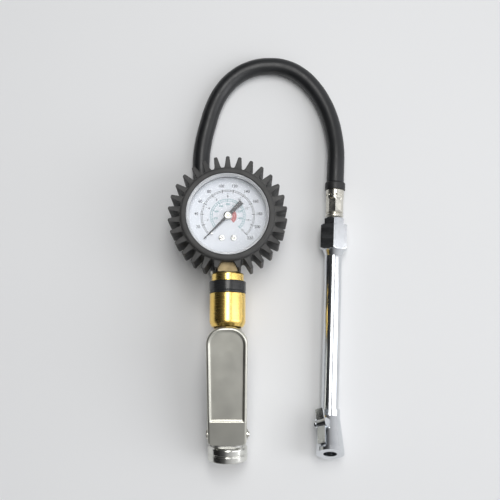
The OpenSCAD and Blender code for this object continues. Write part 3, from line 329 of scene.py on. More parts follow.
around = (1, 40, 1)       # turning marks run round the barrel and its band
along = (30, 1, 30)       # drawn marks run along the chuck
finishes = {
    "bootRubber": finish("bootRubber", {
        "colour": (0.036, 0.036, 0.036), "tone": (0.050, 0.050, 0.049), "toneScale": 45,
        "rough": (0.46, 0.66), "grain": 2600, "bump": 0.28, "depth": 0.00012,
        # the lighter colour along the lugs' edges is a painted highlight
        "paintedEdgeHighlight": (0.082, 0.082, 0.079), "paintedEdgeHighlightFrom": 0.54, "paintedEdgeHighlightTo": 0.66, "shine": 0.45}),
    "hoseRubber": finish("hoseRubber", {
        "colour": (0.010, 0.011, 0.012), "tone": (0.016, 0.017, 0.019), "toneScale": 35,
        "rough": (0.34, 0.46), "grain": 1500, "bump": 0.12, "depth": 0.0001, "shine": 0.5}),
    "softBlack": finish("softBlack", {
        "colour": (0.010, 0.010, 0.011), "tone": (0.018, 0.018, 0.019), "rough": (0.4, 0.55),
        "grain": 2200, "bump": 0.15, "depth": 0.0001}),
    "bandPlastic": finish("bandPlastic", {
        "colour": (0.016, 0.017, 0.018), "tone": (0.024, 0.025, 0.027), "rough": (0.2, 0.3),
        "grain": 1800, "bump": 0.06, "depth": 0.0001, "stretch": around}),
    "goldBrass": finish("goldBrass", {
        "colour": (0.98, 0.66, 0.18), "tone": (1.0, 0.74, 0.25), "toneScale": 70, "metal": 1,
        "rough": (0.2, 0.3), "grain": 420, "bump": 0.05, "depth": 0.0001, "stretch": around}),
    "dullBrass": finish("dullBrass", {
        "colour": (0.20, 0.155, 0.085), "tone": (0.32, 0.255, 0.15), "toneScale": 160, "metal": 1,
        "rough": (0.4, 0.55), "grain": 700, "bump": 0.14, "depth": 0.00012}),
    "plainBrass": finish("plainBrass", {
        "colour": (0.62, 0.47, 0.20), "tone": (0.72, 0.56, 0.27), "toneScale": 120, "metal": 1,
        "rough": (0.24, 0.38), "grain": 800, "bump": 0.08, "depth": 0.0001}),
    "satinNickel": finish("satinNickel", {
        "colour": (0.60, 0.595, 0.53), "tone": (0.68, 0.675, 0.61), "toneScale": 38, "metal": 1,
        "rough": (0.32, 0.42), "roughScale": 90, "grain": 1300, "bump": 0.08, "depth": 0.0001}),
    "brightNickel": finish("brightNickel", {
        "colour": (0.66, 0.66, 0.62), "tone": (0.76, 0.76, 0.72), "toneScale": 90, "metal": 1,
        "rough": (0.12, 0.22), "grain": 900, "bump": 0.04, "depth": 0.0001}),
    "chromePlate": finish("chromePlate", {
        "colour": (0.64, 0.66, 0.69), "tone": (0.72, 0.74, 0.76), "toneScale": 80, "metal": 1,
        "rough": (0.13, 0.21), "grain": 500, "bump": 0.03, "depth": 0.0001, "stretch": along}),
    "zincSteel": finish("zincSteel", {
        "colour": (0.60, 0.58, 0.52), "tone": (0.72, 0.70, 0.63), "toneScale": 140, "metal": 1,
        "rough": (0.2, 0.34), "grain": 900, "bump": 0.08, "depth": 0.0001}),
    "castAlloy": finish("castAlloy", {
        "colour": (0.48, 0.48, 0.46), "tone": (0.56, 0.56, 0.54), "toneScale": 60, "metal": 1,
        "rough": (0.36, 0.5), "grain": 1600, "bump": 0.22, "depth": 0.00015}),
    "dialEnamel": finish("dialEnamel", {
        "colour": (0.76, 0.80, 0.87), "tone": (0.80, 0.84, 0.90), "toneScale": 30, "rough": (0.34, 0.44),
        "grain": 2000, "bump": 0.03, "depth": 0.00005}),
    "blackInk": finish("blackInk", {
        "colour": (0.02, 0.025, 0.04), "tone": (0.04, 0.045, 0.06), "rough": (0.4, 0.5), "grain": 2500,
        "bump": 0.03, "depth": 0.00005}),
    "tealInk": finish("tealInk", {
        "colour": (0.06, 0.30, 0.33), "tone": (0.10, 0.36, 0.39), "rough": (0.4, 0.5), "grain": 2500,
        "bump": 0.03, "depth": 0.00005}),
    "redInk": finish("redInk", {
        "colour": (0.52, 0.14, 0.15), "tone": (0.58, 0.19, 0.19), "rough": (0.4, 0.5), "grain": 2500,
        "bump": 0.03, "depth": 0.00005}),
    "pointerPaint": finish("pointerPaint", {
        "colour": (0.016, 0.019, 0.026), "tone": (0.026, 0.030, 0.038), "rough": (0.42, 0.5),
        "grain": 2200, "bump": 0.05, "depth": 0.00005}),
    "clearWindow": finish("clearWindow", {
        "colour": (0.92, 0.95, 0.97), "tone": (0.96, 0.97, 0.98), "rough": (0.02, 0.07), "roughScale": 60,
        "grain": 60, "bump": 0.02, "depth": 0.0001, "alpha": 0.05, "shine": 0.6}),
    "windowRim": finish("windowRim", {
        "colour": (0.60, 0.63, 0.66), "tone": (0.70, 0.72, 0.75), "rough": (0.08, 0.16), "grain": 400,
        "bump": 0.02, "depth": 0.0001, "alpha": 0.72, "shine": 0.8, "coat": 0.6}),
}


# gives a new piece its finish and its body, and hides the imported nodes that it stands in for
def dress(piece, body, finishName, stands=()):
    piece.data.materials.clear()
    piece.data.materials.append(finishes[finishName])
    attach(piece, body)
    if stands:
        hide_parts(*stands)
    return piece


dress(airHose, "gun", "hoseRubber", ["hose"])
print("inflator: finishes mixed")


# gauge: boot

bootSet = {
    "caseFit": 31.02, "wall": 33.4, "lip": 29.2, "backHole": 20, "floor": 2,
    "lugs": 30, "lugTip": 42, "lugRoot": 4.2, "lugEnd": 2.4, "lugInset": 3,
    "shortTip": 38.6,        # the two lugs beside the ring are cut short
    "slot": 16.6,            # square opening for the stem
    "slotTo": 28,            # how near the gauge's centre the opening is cut
}


def lugOutline(s, tip):
    root, end = s["lugRoot"] / 2, s["lugEnd"] / 2
    half = [(s["wall"] - 1.6, root + 1.5), (s["wall"] - 0.1, root + 1.1), (s["wall"] + 0.5, root + 0.45),
            (s["wall"] + 1.5, root), (tip, end)]
    return softened([(x, -y) for x, y in half] + [(x, y) for x, y in reversed(half)], 0.95, 4)


def makeBoot(s):
    outline = softened([
        (s["backHole"], bootBack, 0.5), (s["wall"], bootBack, 1.6), (s["wall"], bootFront, 2.1),
        (s["lip"], bootFront, 0.8), (s["lip"], caseRim, 0), (s["caseFit"], caseRim, 0),
        (s["caseFit"], bootBack + s["floor"], 0), (s["backHole"], bootBack + s["floor"], 0.5)], 0, 6)
    boot = spun("rubberBoot", outline, gaugeFrame, 180)
    half = s["slot"] / 2
    stemHeight = axisHeight / mm
    far, near = -s["lugTip"], -s["slotTo"]
    cutter = slab("stemSlot", [(-half, far), (half, far), (half, near), (-half, near)],
                  stemHeight - half, stemHeight + half, gaugeFrame)
    carved(boot, cutter)
    bm = bmesh.new()
    bm.from_mesh(boot.data)
    bm.transform((gaugeFrame @ Matrix.Scale(mm, 4)).inverted())
    for k in range(s["lugs"]):
        if k == s["lugs"] // 2:
            continue
        beside = abs(k - s["lugs"] // 2) == 1
        outline = lugOutline(s, s["shortTip"] if beside else s["lugTip"])
        slabInto(bm, outline, bootBack + s["lugInset"], bootFront - s["lugInset"], 0.55, 3,
                 turned(90 + 360 * k / s["lugs"], "Z"))
    old = boot.data
    bm.to_mesh(old)
    bm.free()
    old.transform(gaugeFrame @ Matrix.Scale(mm, 4))
    old.shade_smooth()
    old.set_sharp_from_angle(angle=radians(38))
    return dress(boot, "gun", "bootRubber", ["rubber_boot"])


makeBoot(bootSet)
print("inflator: boot moulded")


# gauge: window and its stepped rim

windowSet = {
    "out": 29.1, "skirt": 30.1, "skirtIn": 28.1, "skirtLift": 1.2, "pane": 27.2, "gap": 0.02,
    "step": 0.8, "front": 0.6, "thick": 1.6,
}


def makeWindow(s):
    front = bootFront - s["front"]
    low = front - 2 * s["step"]
    under = low - s["thick"]
    foot = dialTop + s["skirtLift"]
    paneEdge = s["pane"] - s["gap"]
    pane = spun("clearPane", softened([
        (0, under, 0), (paneEdge, under, 0.2), (paneEdge, low, 0.2), (0, low, 0)], 0.1, 2), gaugeFrame, 128)
    dress(pane, "gun", "clearWindow")
    second, third = s["out"] - 0.8, s["out"] - 1.5      # the rim's two inner steps
    rim = spun("windowRim", softened([
        (s["pane"], under, 0.3), (s["skirtIn"], under - 0.1, 0.3), (s["skirtIn"], foot, 0.2),
        (s["skirt"], foot, 0.2), (s["skirt"], caseRim, 0.2), (s["out"], caseRim, 0.1),
        (s["out"], front, 0.35), (second, front, 0.35), (second, front - s["step"], 0.25),
        (third, front - s["step"], 0.3), (third, low, 0.2), (s["pane"], low, 0.1)], 0.2, 4), gaugeFrame, 160)
    return dress(rim, "gun", "windowRim", ["gauge_lens"])


makeWindow(windowSet)


# gauge: dial print

dialSet = {
    "zero": 225, "sweep": 270, "full": 220, "ink": 0.03, "lift": 0.01,
    "outer": {"arcs": (18.0, 19.0), "line": 0.24, "every": 20, "minor": 5, "long": (1.1, 0.5),
              "ticks": (0.42, 0.22), "numbers": 22.3, "size": 2.9},
    "inner": {"tick": (16.1, 16.8), "ticks": 0.36, "full": 16, "every": 2, "numbers": 14.4, "size": 2.2},
    "green": {"arcs": (11.0, 12.4), "line": 0.26, "full": 1600, "steps": 32, "every": 4, "long": 0.6,
              "ticks": (0.34, 0.2), "numbers": 8.6, "size": 1.9},
    "stroke": 0.012,         # how far a figure's outline is thickened, as a share of its size
    "wedge": {"start": 45, "end": -50, "radii": (3.2, 6.3), "under": 0.005},
}


def arcInto(bm, inner, outer, start, end, height, steps=90):
    rows = list(zip(arcOf(inner, start, end, steps), arcOf(outer, start, end, steps)))
    verts = [(bm.verts.new((*a, height)), bm.verts.new((*b, height))) for a, b in rows]
    for one, two in zip(verts, verts[1:]):
        bm.faces.new((one[0], two[0], two[1], one[1]))


def tickInto(bm, inner, outer, angle, width, height):
    a = radians(angle)
    out, side = Vector((cos(a), sin(a), 0)), Vector((-sin(a), cos(a), 0)) * width / 2
    up = Vector((0, 0, height))
    bm.faces.new([bm.verts.new(p + up) for p in
                  (out * inner - side, out * outer - side, out * outer + side, out * inner + side)])


def numberInto(bm, text, size, x, y, height):
    data = bpy.data.curves.new("figure", "FONT")
    data.body = text
    data.size = size
    data.align_x = "CENTER"
    data.align_y = "CENTER"
    data.offset = dialSet["stroke"] * size
    figure = bpy.data.objects.new("figure", data)
    scene.collection.objects.link(figure)
    bpy.context.view_layer.update()
    mesh = bpy.data.meshes.new_from_object(figure.evaluated_get(bpy.context.evaluated_depsgraph_get()))
    mesh.transform(Matrix.Translation((x, y, height)))
    bm.from_mesh(mesh)
    bpy.data.objects.remove(figure)
    bpy.data.meshes.remove(mesh)


def printed(name, bm, ink):
    bm.normal_update()
    for face in bm.faces:
        if face.normal.z < 0:
            face.normal_flip()
    mesh = bpy.data.meshes.new(name)
    bm.to_mesh(mesh)
    bm.free()
    mesh.transform(gaugeFrame @ Matrix.Scale(mm, 4))
    piece = bpy.data.objects.new(name, mesh)
    scene.collection.objects.link(piece)
    thick = piece.modifiers.new("thick", "SOLIDIFY")
    thick.thickness = dialSet["ink"] * mm
    thick.offset = 1
    return dress(piece, "gun", ink)


def makeDialPrint(s):
    def angleOf(share):                                # degrees on the dial at a share of full scale
        return s["zero"] - s["sweep"] * share

    def numberAt(bm, value, row, share):
        a = radians(angleOf(share))
        numberInto(bm, str(value), row["size"], row["numbers"] * cos(a), row["numbers"] * sin(a), height)

    height = dialTop + s["lift"]
    o, i, g, w = s["outer"], s["inner"], s["green"], s["wedge"]
    black, green, red = bmesh.new(), bmesh.new(), bmesh.new()
    for row, bm in ((o, black), (g, green)):
        for radius in row["arcs"]:
            arcInto(bm, radius - row["line"] / 2, radius + row["line"] / 2, angleOf(0), angleOf(1), height)
    for value in range(0, s["full"] + 1, o["minor"]):
        share = value / s["full"]
        labelled = value % o["every"] == 0
        inward, outward = o["long"] if labelled else (0, 0)
        tickInto(black, o["arcs"][0] - inward, o["arcs"][1] + outward, angleOf(share),
                 o["ticks"][0 if labelled else 1], height)
        if labelled:
            numberAt(black, value, o, share)
    for value in range(0, i["full"] + 1, i["every"]):
        share = value / i["full"]
        tickInto(black, i["tick"][0], i["tick"][1], angleOf(share), i["ticks"], height)
        numberAt(black, value, i, share)
    for step in range(g["steps"] + 1):
        share = step / g["steps"]
        long = step % g["every"] == 0
        tickInto(green, g["arcs"][0] - (g["long"] if long else 0), g["arcs"][1], angleOf(share),
                 g["ticks"][0 if long else 1], height)
        if long and step < g["steps"]:
            numberAt(green, round(g["full"] * share), g, share)
    arcInto(red, w["radii"][0], w["radii"][1], w["start"], w["end"], height - w["under"], 30)
    printed("blackScale", black, "blackInk")
    printed("greenScale", green, "tealInk")
    printed("redWedge", red, "redInk")


makeDialPrint(dialSet)


# gauge: pointer and dial screws

pointerSet = {
    "zero": 225, "lift": 1.8, "long": 24, "tail": 14, "tailWide": 1.8, "thick": 0.5,
    "hub": 3.0, "bore": 0.9, "high": 1.3,
}


def makePointer(s):
    low = dialTop + s["lift"]
    base, shoulder = low + s["thick"], low + s["high"] - 0.2
    place = gaugeFrame @ turned(s["zero"], "Z")
    blade = slab("pointerBlade", softened([
        (s["long"], -0.2, 0.1), (s["long"], 0.2, 0.1), (0.5, 1.15, 0.6), (-4.5, 1.25, 0.8),
        (-s["tail"], s["tailWide"], 0.7), (-s["tail"], -s["tailWide"], 0.7), (-4.5, -1.25, 0.8),
        (0.5, -1.15, 0.6)], 0.3, 4), low, base, place, 0.12, 2)
    dress(blade, "pointer", "pointerPaint", ["pointer"])
    hub = spun("pointerHub", softened([
        (s["bore"], base, 0.1), (s["hub"], base, 0.15), (s["hub"], shoulder, 0.4),
        (1.7, low + s["high"] + 0.15, 0.4), (1.5, shoulder, 0.15), (s["bore"], shoulder, 0.1)], 0.1, 4),
        place, 64)
    dress(hub, "pointer", "brightNickel")


makePointer(pointerSet)

screwSet = {
    "x": 4.25, "y": -15.7, "head": 2.1, "high": 0.8, "shank": 1.1, "long": 5,
    "cross": (1.25, 0.32), "crossFrom": 0.35, "turn": 20,
}


def makeDialScrews(s):
    reach, half = s["cross"][0], s["cross"][1] / 2
    foot, crown = dialTop - s["long"], dialTop + s["high"]
    bm = bmesh.new()
    for side in (-1, 1):
        place = gaugeFrame @ moved(side * s["x"], s["y"], 0)
        part = bmesh.new()
        spinInto(part, softened([
            (0, foot, 0), (s["shank"], foot, 0.3), (s["shank"], dialTop, 0.1), (s["head"], dialTop, 0.1),
            (s["head"], crown, 0.7), (0, crown + 0.1, 0)], 0.1, 5), 48)
        head = made("screwPart", part, place)
        for turn in (35 + s["turn"] * side, 125 + s["turn"] * side):
            cutter = slab("cross", [(-reach, -half), (reach, -half), (reach, half), (-reach, half)],
                          dialTop + s["crossFrom"], dialTop + 2, place @ turned(turn, "Z"))
            carved(head, cutter)
        bm.from_mesh(head.data)
        bpy.data.objects.remove(head)
    bm.transform(Matrix.Scale(1 / mm, 4))
    screws = made("dialScrews", bm, Matrix.Identity(4))
    return dress(screws, "gun", "brightNickel", ["dial_screws"])


makeDialScrews(screwSet)
print("inflator: gauge done")


# body: washer, ring, band, barrel

bodySet = {
    "stemEnd": 39.3, "neck": 9, "washer": 0.9, "thread": 6.6, "fit": 0.01,
    "ring": 11.3, "ringEnd": 46, "band": 12.9, "bandEnd": 54.5, "groove": (2.0, 1.3, 0.35),
    "barrel": 12.6, "barrelEnd": 78, "nose": 11, "noseLong": 3,
    "spigot": 8.1, "spigotFrom": 66.5, "bore": 3, "boreFrom": 53.2,
}


def makeBody(s):
    start = s["stemEnd"] + s["washer"]
    neck = s["neck"] + s["fit"]
    dress(spun("stemWasher", softened([
        (s["thread"], s["stemEnd"]), (s["neck"], s["stemEnd"]), (s["neck"], start), (s["thread"], start)],
        0.25), barrelFrame), "gun", "dullBrass", ["stem_washer"])
    ringEnd = s["ringEnd"] - 0.05
    dress(spun("capRing", softened([
        (neck, start), (s["ring"], start, 1.3), (s["ring"], ringEnd, 0.3), (neck, ringEnd)], 0.2, 5),
        barrelFrame, 128), "gun", "goldBrass", ["cap_ring"])
    grooveFrom, grooveTo, depth = s["groove"]          # distances from the band's lower end, and its depth
    floor = s["band"] - depth
    dress(spun("neckBand", softened([
        (neck, s["ringEnd"]), (s["band"], s["ringEnd"], 0.7), (s["band"], s["bandEnd"] - grooveFrom, 0.25),
        (floor, s["bandEnd"] - grooveFrom + 0.2, 0.2), (floor, s["bandEnd"] - grooveTo - 0.2, 0.2),
        (s["band"], s["bandEnd"] - grooveTo, 0.25), (s["band"], s["bandEnd"], 0.6), (neck, s["bandEnd"])],
        0.2, 4), barrelFrame, 128), "gun", "bandPlastic", ["neck_band"])
    top, end = s["bandEnd"] + 0.02, s["barrelEnd"]
    dress(spun("barrelShell", softened([
        (s["thread"], start + 0.3), (s["neck"], start + 0.3), (s["neck"], top), (s["barrel"], top, 0.5),
        (s["barrel"], end - s["noseLong"], 1.2), (s["nose"], end, 0.4), (s["spigot"], end, 0.3),
        (s["spigot"], s["spigotFrom"]), (s["bore"], s["spigotFrom"]), (s["bore"], s["boreFrom"]),
        (s["thread"], s["boreFrom"])], 0.2, 5), barrelFrame, 128),
        "gun", "goldBrass", ["barrel"])


makeBody(bodySet)


# lever: pressed sheet with a rolled rim and a dished thumb panel

leverSet = {
    "wide": 28.4, "pivotWide": 26.8, "long": 77.1, "arch": 12, "low": -5.4, "rimHigh": 11, "wallDrop": 4.5,
    "endDrop": 4, "wallFullAt": 22, "bendAt": 11.4, "fall": 8, "dish": 1.0, "rim": 2.2, "round": 1.5,
    "sheet": 1.3, "cornerLow": 2.6, "cornerLift": (3.5, 3.2),
    "rows": 66,              # points up one side of the outline, before the thumb end
    "turns": 24,             # steps round the thumb end, on each side
}
leverFall = tan(radians(leverSet["fall"]))
leverRuns = {
    "walls": (0, 0.3, 0.6, 1),           # shares of a wall's height
    "turn": (18, 36, 54, 72, 90),        # degrees round the rolled edge
    "dish": (1.7, 1.95, 2.2, 2.45, 2.7, 2.95, 3.3, 4.2, 6.5, 9.0, 11.2),    # distances in from the edge
}


def smooth(low, high, value):
    t = max(0.0, min(1.0, (value - low) / (high - low)))
    return t * t * (3 - 2 * t)


def leverTrace(s, margin):                # one side, over the thumb end and down the other side
    archY = s["long"] - s["arch"]
    slope = atan2((s["wide"] - s["pivotWide"]) / 2, archY)
    archX = s["pivotWide"] / 2 + archY * tan(slope) - s["arch"] / cos(slope)
    r = s["arch"] - margin
    heights = [s["low"] + 0.4 * k for k in range(0, 50)] + [s["low"] + 20 + 3 * k for k in range(0, 17)]
    right = []
    for y in [h for h in heights if h < archY - r * sin(slope) - 1]:
        short = max(0.0, s["cornerLow"] - (y - s["low"]))
        inset = s["cornerLow"] - (s["cornerLow"] ** 2 - short ** 2) ** 0.5
        right.append((s["pivotWide"] / 2 + y * tan(slope) - margin / cos(slope) - inset, y))
    while len(right) < s["rows"]:                      # every margin needs the same number of points
        right.append(right[-1])
    for k in range(s["turns"] + 1):
        a = -slope + (pi / 2 + slope) * k / s["turns"]
        right.append((archX + r * cos(a), archY + r * sin(a)))
    return right + [(-x, y) for x, y in reversed(right[:-1])]


def makeLever(s):
    def face(y):                                       # height of the face, which folds down at its lower end
        return s["rimHigh"] - max(0.0, leverFall * (s["bendAt"] - y))

    def edge(y):                                       # height of the walls' free edge
        share = max(0.0, (y - s["wallFullAt"]) / (s["long"] + 1 - s["wallFullAt"]))
        reach, lift = s["cornerLift"]
        low = max(0.0, 1 - (y - s["low"]) / reach)
        return -s["wallDrop"] + share * (s["rimHigh"] - s["endDrop"] + s["wallDrop"]) + lift * low * low

    layers = [(0, "wall", share) for share in leverRuns["walls"]]
    layers += [(s["round"] * (1 - cos(radians(a))), "turn", sin(radians(a))) for a in leverRuns["turn"]]
    layers += [(margin, "dish", 0) for margin in leverRuns["dish"]]
    bm = bmesh.new()
    rows = []
    for margin, kind, share in layers:
        row = []
        for x, y in leverTrace(s, margin):
            top = face(y)
            if kind == "wall":
                z = edge(y) + (top - s["round"] - edge(y)) * share
            elif kind == "turn":
                z = top - s["round"] * (1 - share)
            else:
                inward = min(margin, y - s["bendAt"] + s["rim"] - 0.9)
                z = top - s["dish"] * smooth(s["rim"] - 0.7, s["rim"] + 0.9, inward)
            row.append(bm.verts.new((x, y, z)))
        rows.append(row)
    for one, two in zip(rows, rows[1:]):
        for k in range(len(one) - 1):
            bm.faces.new((one[k], one[k + 1], two[k + 1], two[k]))
    last = rows[-1]
    count = len(last)
    for k in range(count // 2):
        corners = list(dict.fromkeys((last[k], last[k + 1], last[count - 2 - k], last[count - 1 - k])))
        if len(corners) > 2:
            bm.faces.new(corners)
    bmesh.ops.remove_doubles(bm, verts=bm.verts, dist=0.001)
    lever = made("triggerLever", bm, leverFrame, 50)
    lever.modifiers.clear()
    sheet = lever.modifiers.new("sheet", "SOLIDIFY")
    sheet.thickness = s["sheet"] * mm
    sheet.offset = -1
    sheet.use_even_offset = True
    return lever


lever = makeLever(leverSet)
dress(lever, "lever", "satinNickel", ["trigger_lever"])


# grip: cast body, collar, inlet

gripSet = {
    "wide": 22.4, "deep": 26, "corner": 8, "neck": 10, "neckCorner": 9.9, "long": 93,
    "collar": 14, "collarLong": 10.5, "flat": 10, "flatCorner": 6, "flatFrom": 62,
    "bush": 8, "bushFrom": 13, "inlet": 5.75, "inletLong": 11.5, "airway": 2.5,
    "threads": 7, "pitch": 1.34, "threadDeep": 0.45,
}
pinSet = {"back": 74, "up": 5, "radius": 2, "half": 13.55, "head": 3.2, "headHigh": 1.2, "end": 1.8}
pinFrame = gripFrame @ moved(0, -pinSet["back"], pinSet["up"]) @ turned(90, "Y")    # +Z runs across the grip


def gripLoop(half, top, bottom, corner, z, steps=8):
    corner = min(corner, half - 0.1, (top + bottom) / 2 - 0.1)
    loop = []
    for cx, cy, start in ((half - corner, top - corner, 0), (-half + corner, top - corner, 90),
                          (-half + corner, -bottom + corner, 180), (half - corner, -bottom + corner, 270)):
        for x, y in arcOf(corner, start, start + 90, steps):
            loop.append((cx + x, cy + y, z))
    return loop


def makeGrip(s):
    half, deep, neck, flat = s["wide"] / 2, s["deep"] / 2, s["neck"], s["flat"]
    start = s["long"] - s["collarLong"]
    stations = [             # distance along, half width, height on the lever's side and below, corner
        (0.3, neck - 0.6, neck - 0.6, neck - 0.6, s["neckCorner"] - 0.6),
        (0.9, neck, neck, neck, s["neckCorner"]),
        (4.6, neck, neck, neck, s["neckCorner"]),
        (5.4, half - 1.0, deep - 1.6, deep - 1.6, s["corner"] + 0.6),
        (6.4, half - 0.3, deep - 0.5, deep - 0.5, s["corner"] + 0.2),
        (8, half, deep, deep, s["corner"]),
        (s["flatFrom"] - 3, half, deep, deep, s["corner"]),
        (s["flatFrom"] - 1, half, deep - 0.3, deep, s["corner"]),
        (s["flatFrom"] + 0.2, half, flat + 0.2, deep, s["flatCorner"] + 0.5),
        (s["flatFrom"] + 1.4, half, flat, deep, s["flatCorner"]),
        (start + 0.6, half, flat, deep, s["flatCorner"])]
    bm = bmesh.new()
    rings = [[bm.verts.new(p) for p in gripLoop(h, t, b, c, z)] for z, h, t, b, c in stations]
    for one, two in zip(rings, rings[1:]):
        for k in range(len(one)):
            n = (k + 1) % len(one)
            bm.faces.new((one[k], one[n], two[n], two[k]))
    bm.faces.new(rings[0])
    bm.faces.new(rings[-1])
    body = made("gripBody", bm, gripAlong, 28)
    through = s["deep"] + 4
    bore = pinSet["radius"]
    hole = spun("pinHole", [(0, -through), (bore, -through), (bore, through), (0, through)], pinFrame, 40)
    carved(body, hole)
    dress(body, "gun", "castAlloy", ["grip"])
    end, wide, inner = s["long"] - 0.1, s["collar"], s["bush"] + 0.01
    collar = spun("buttCollar", softened([
        (inner, start, 0.1), (wide - 1.0, start, 0.5), (wide, start + 1.4, 0.6), (wide, start + 5.0, 0.3),
        (wide - 0.5, start + 5.3, 0.2), (wide - 0.5, start + 5.9, 0.2), (wide, start + 6.2, 0.3),
        (wide, end, 0.9), (inner, end, 0.3)], 0.2, 4), gripAlong, 128)
    dress(collar, "gun", "brightNickel")
    thread = []
    top = s["long"] - 0.2
    for k in range(s["threads"]):
        z = top - 0.9 - k * s["pitch"]
        thread += [(s["inlet"] + s["threadDeep"], z), (s["inlet"], z - s["pitch"] / 2)]
    foot, floor = s["long"] - s["bushFrom"], s["long"] - s["inletLong"]
    outside = [(s["airway"], foot), (s["bush"], foot), (s["bush"], top), (s["inlet"] + 0.9, top)]
    inside = thread + [(s["inlet"], floor), (s["airway"], floor)]
    bush = spun("inletBush", outside + inside, gripAlong, 96, sharp=20)
    dress(bush, "gun", "plainBrass", ["inlet_bush"])


makeGrip(gripSet)


# lever pin, with a groove for its clip

def makePin(s):
    radius, half, tip = s["radius"], s["half"], s["half"] + s["end"]
    groove = (half, half + 0.6, radius - 0.4)          # where it starts and ends, and its radius
    back = -half - s["headHigh"]
    pin = spun("leverPin", softened([
        (0, back, 0), (s["head"], back, 0.8), (s["head"], -half, 0.1), (radius, -half, 0.1),
        (radius, groove[0], 0.05), (groove[2], groove[0], 0.05), (groove[2], groove[1], 0.05),
        (radius, groove[1], 0.05), (radius, tip, 0.4), (0, tip, 0)], 0.1, 4), pinFrame, 48)
    dress(pin, "gun", "zincSteel", ["lever_pin"])


makePin(pinSet)
print("inflator: body, grip and lever done")


# hose ends and chuck

fittingSet = {               # heights are distances from the hose's end
    "insert": 3.4, "bore": 3.6, "airway": 2.2,
    "collar": 7.5, "collarLong": 5.6,
    "ferrule": 6.6, "ferruleEnd": 27,
    "dents": {"count": 10, "up": 4.2, "high": 0.75, "wide": 1.15, "deep": 0.55},
    "crimp": {"from": 12.2, "to": 22.8, "flats": 8, "fade": 0.8, "deep": 0.2},
    "nut": 14, "nutEnd": 32.2,
    "hex": 19, "hexEnd": 50.6, "shoulder": (1.7, 1.9), "neckEnd": 54.8, "turn": 6,
    "tube": 6.25, "tubeEnd": 169.8, "tubeTail": (5, 8), "tubeStep": 11,
}


def crimped(s, r, z, a):                  # a round wall that is pressed into flats between two heights
    fade, step = s["fade"], 2 * pi / s["flats"]
    inside = smooth(s["from"], s["from"] + fade, z) * (1 - smooth(s["to"] - fade, s["to"], z))
    flat = r * cos(step / 2) / cos((a % step) - step / 2)
    return r + (flat - s["deep"] - r) * inside


def sixSided(flats, turn):                             # turns a round outline into a hexagon
    corner = flats / 3 ** 0.5

    def shape(r, z, a):
        part = ((a - radians(30 + turn)) % (pi / 3)) - pi / 6
        return min(r, corner * cos(pi / 6) / cos(part))
    return shape


def makeFerrule(s):
    start, wall, d = s["collarLong"], s["ferrule"], s["dents"]
    rows = [(s["insert"], start), (wall - 0.3, start), (wall, start + 0.4)]
    rows += [(wall, start + 0.4 + 0.15 * k) for k in range(1, 36)]
    rows += [(wall - 0.02, start + 5.8 + 0.4 * k) for k in range(1, 30)]
    rows += [(wall - 0.3, 23.2), (wall - 0.9, 23.5), (wall - 0.9, 24.0), (wall - 0.2, 24.4)]
    rows += [(wall, 24.8), (wall, 25.6), (wall - 0.3, 26.0), (wall - 1.1, 26.5)]
    rows.append((s["insert"], s["ferruleEnd"]))
    apart = 2 * pi / d["count"]

    def pressed(r, z, a):
        if r < wall - 0.5:
            return r
        aside = (a % apart) - apart / 2
        dent = max(0.0, 1 - (((z - start - d["up"]) / d["high"]) ** 2 + (aside * wall / d["wide"]) ** 2))
        return min(r - d["deep"] * dent ** 0.5, crimped(s["crimp"], r, z, a))

    dress(spun("hoseFerrule", rows, chuckFrame, 200, pressed, sharp=26),
          "gun", "zincSteel", ["hose_ferrule"])


def makeFittings(s):
    insert, collar, collarEnd = s["insert"], s["collar"], s["collarLong"]
    dress(spun("hoseCollar", softened([
        (insert, 0, 0.1), (collar, 0, 1.0), (collar, collarEnd, 0.4), (insert, collarEnd, 0.1)], 0.2, 5),
        chuckFrame), "gun", "softBlack", ["hose_collar"])
    makeFerrule(s)

    corner, low, high = s["nut"] / 3 ** 0.5, s["ferruleEnd"], s["nutEnd"]
    nut = [(s["airway"], low), (corner - 0.9, low), (corner, low + 0.5), (corner, high), (s["airway"], high)]
    dress(spun("hoseNut", nut, chuckFrame, 120, sixSided(s["nut"], s["turn"]), sharp=24),
          "gun", "chromePlate", ["hose_nut"])

    corner, low, high, neck = s["hex"] / 3 ** 0.5, s["nutEnd"], s["hexEnd"], s["neckEnd"]
    inward, down = s["shoulder"]
    hexagon = [(s["bore"], low), (corner - 0.8, low), (corner, low + 0.8)]
    hexagon += [(corner - inward + inward * sin(radians(a)), high - down + down * cos(radians(a)))
                for a in range(90, -1, -15)]
    hexagon += [(s["hex"] / 2 - 1.2, high), (s["hex"] / 2 - 1.9, high + 1.1)]
    hexagon += [(s["tube"] + 0.35, neck - 0.5), (s["tube"] + 0.1, neck), (s["bore"], neck)]
    dress(spun("chuckHexagon", hexagon, chuckFrame, 120, sixSided(s["hex"], s["turn"]), sharp=24),
          "gun", "chromePlate", ["chuck_hex"])

    tail, tailLong = s["tubeTail"]
    wall, end = s["tube"], s["tubeEnd"] - 0.1
    tube = [(s["bore"], neck - tailLong), (tail, neck - tailLong), (tail, neck + 0.05)]
    tube.append((wall - 0.1, neck + 0.05))
    tube += [(wall, neck + 0.3)] + [(wall, neck + 2 + s["tubeStep"] * k) for k in range(11)]
    tube += [(wall, end), (s["bore"], end)]
    dress(spun("longTube", tube, chuckFrame, 96), "gun", "chromePlate", ["chuck_tube"])


makeFittings(fittingSet)

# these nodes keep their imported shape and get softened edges, as wide as the number in mm
headSet = {
    "edges": {"chuck_head": 0.45, "clip_lever": 0.22, "clip_pin": 0.25, "core_pin": 0.1, "hose_port": 0.45,
              "port_ferrule": 0.3, "valve_cap": 0.2, "pin_clip": 0.08, "dial_plate": 0.08, "gauge_case": 0.1},
    "steps": 3,
}


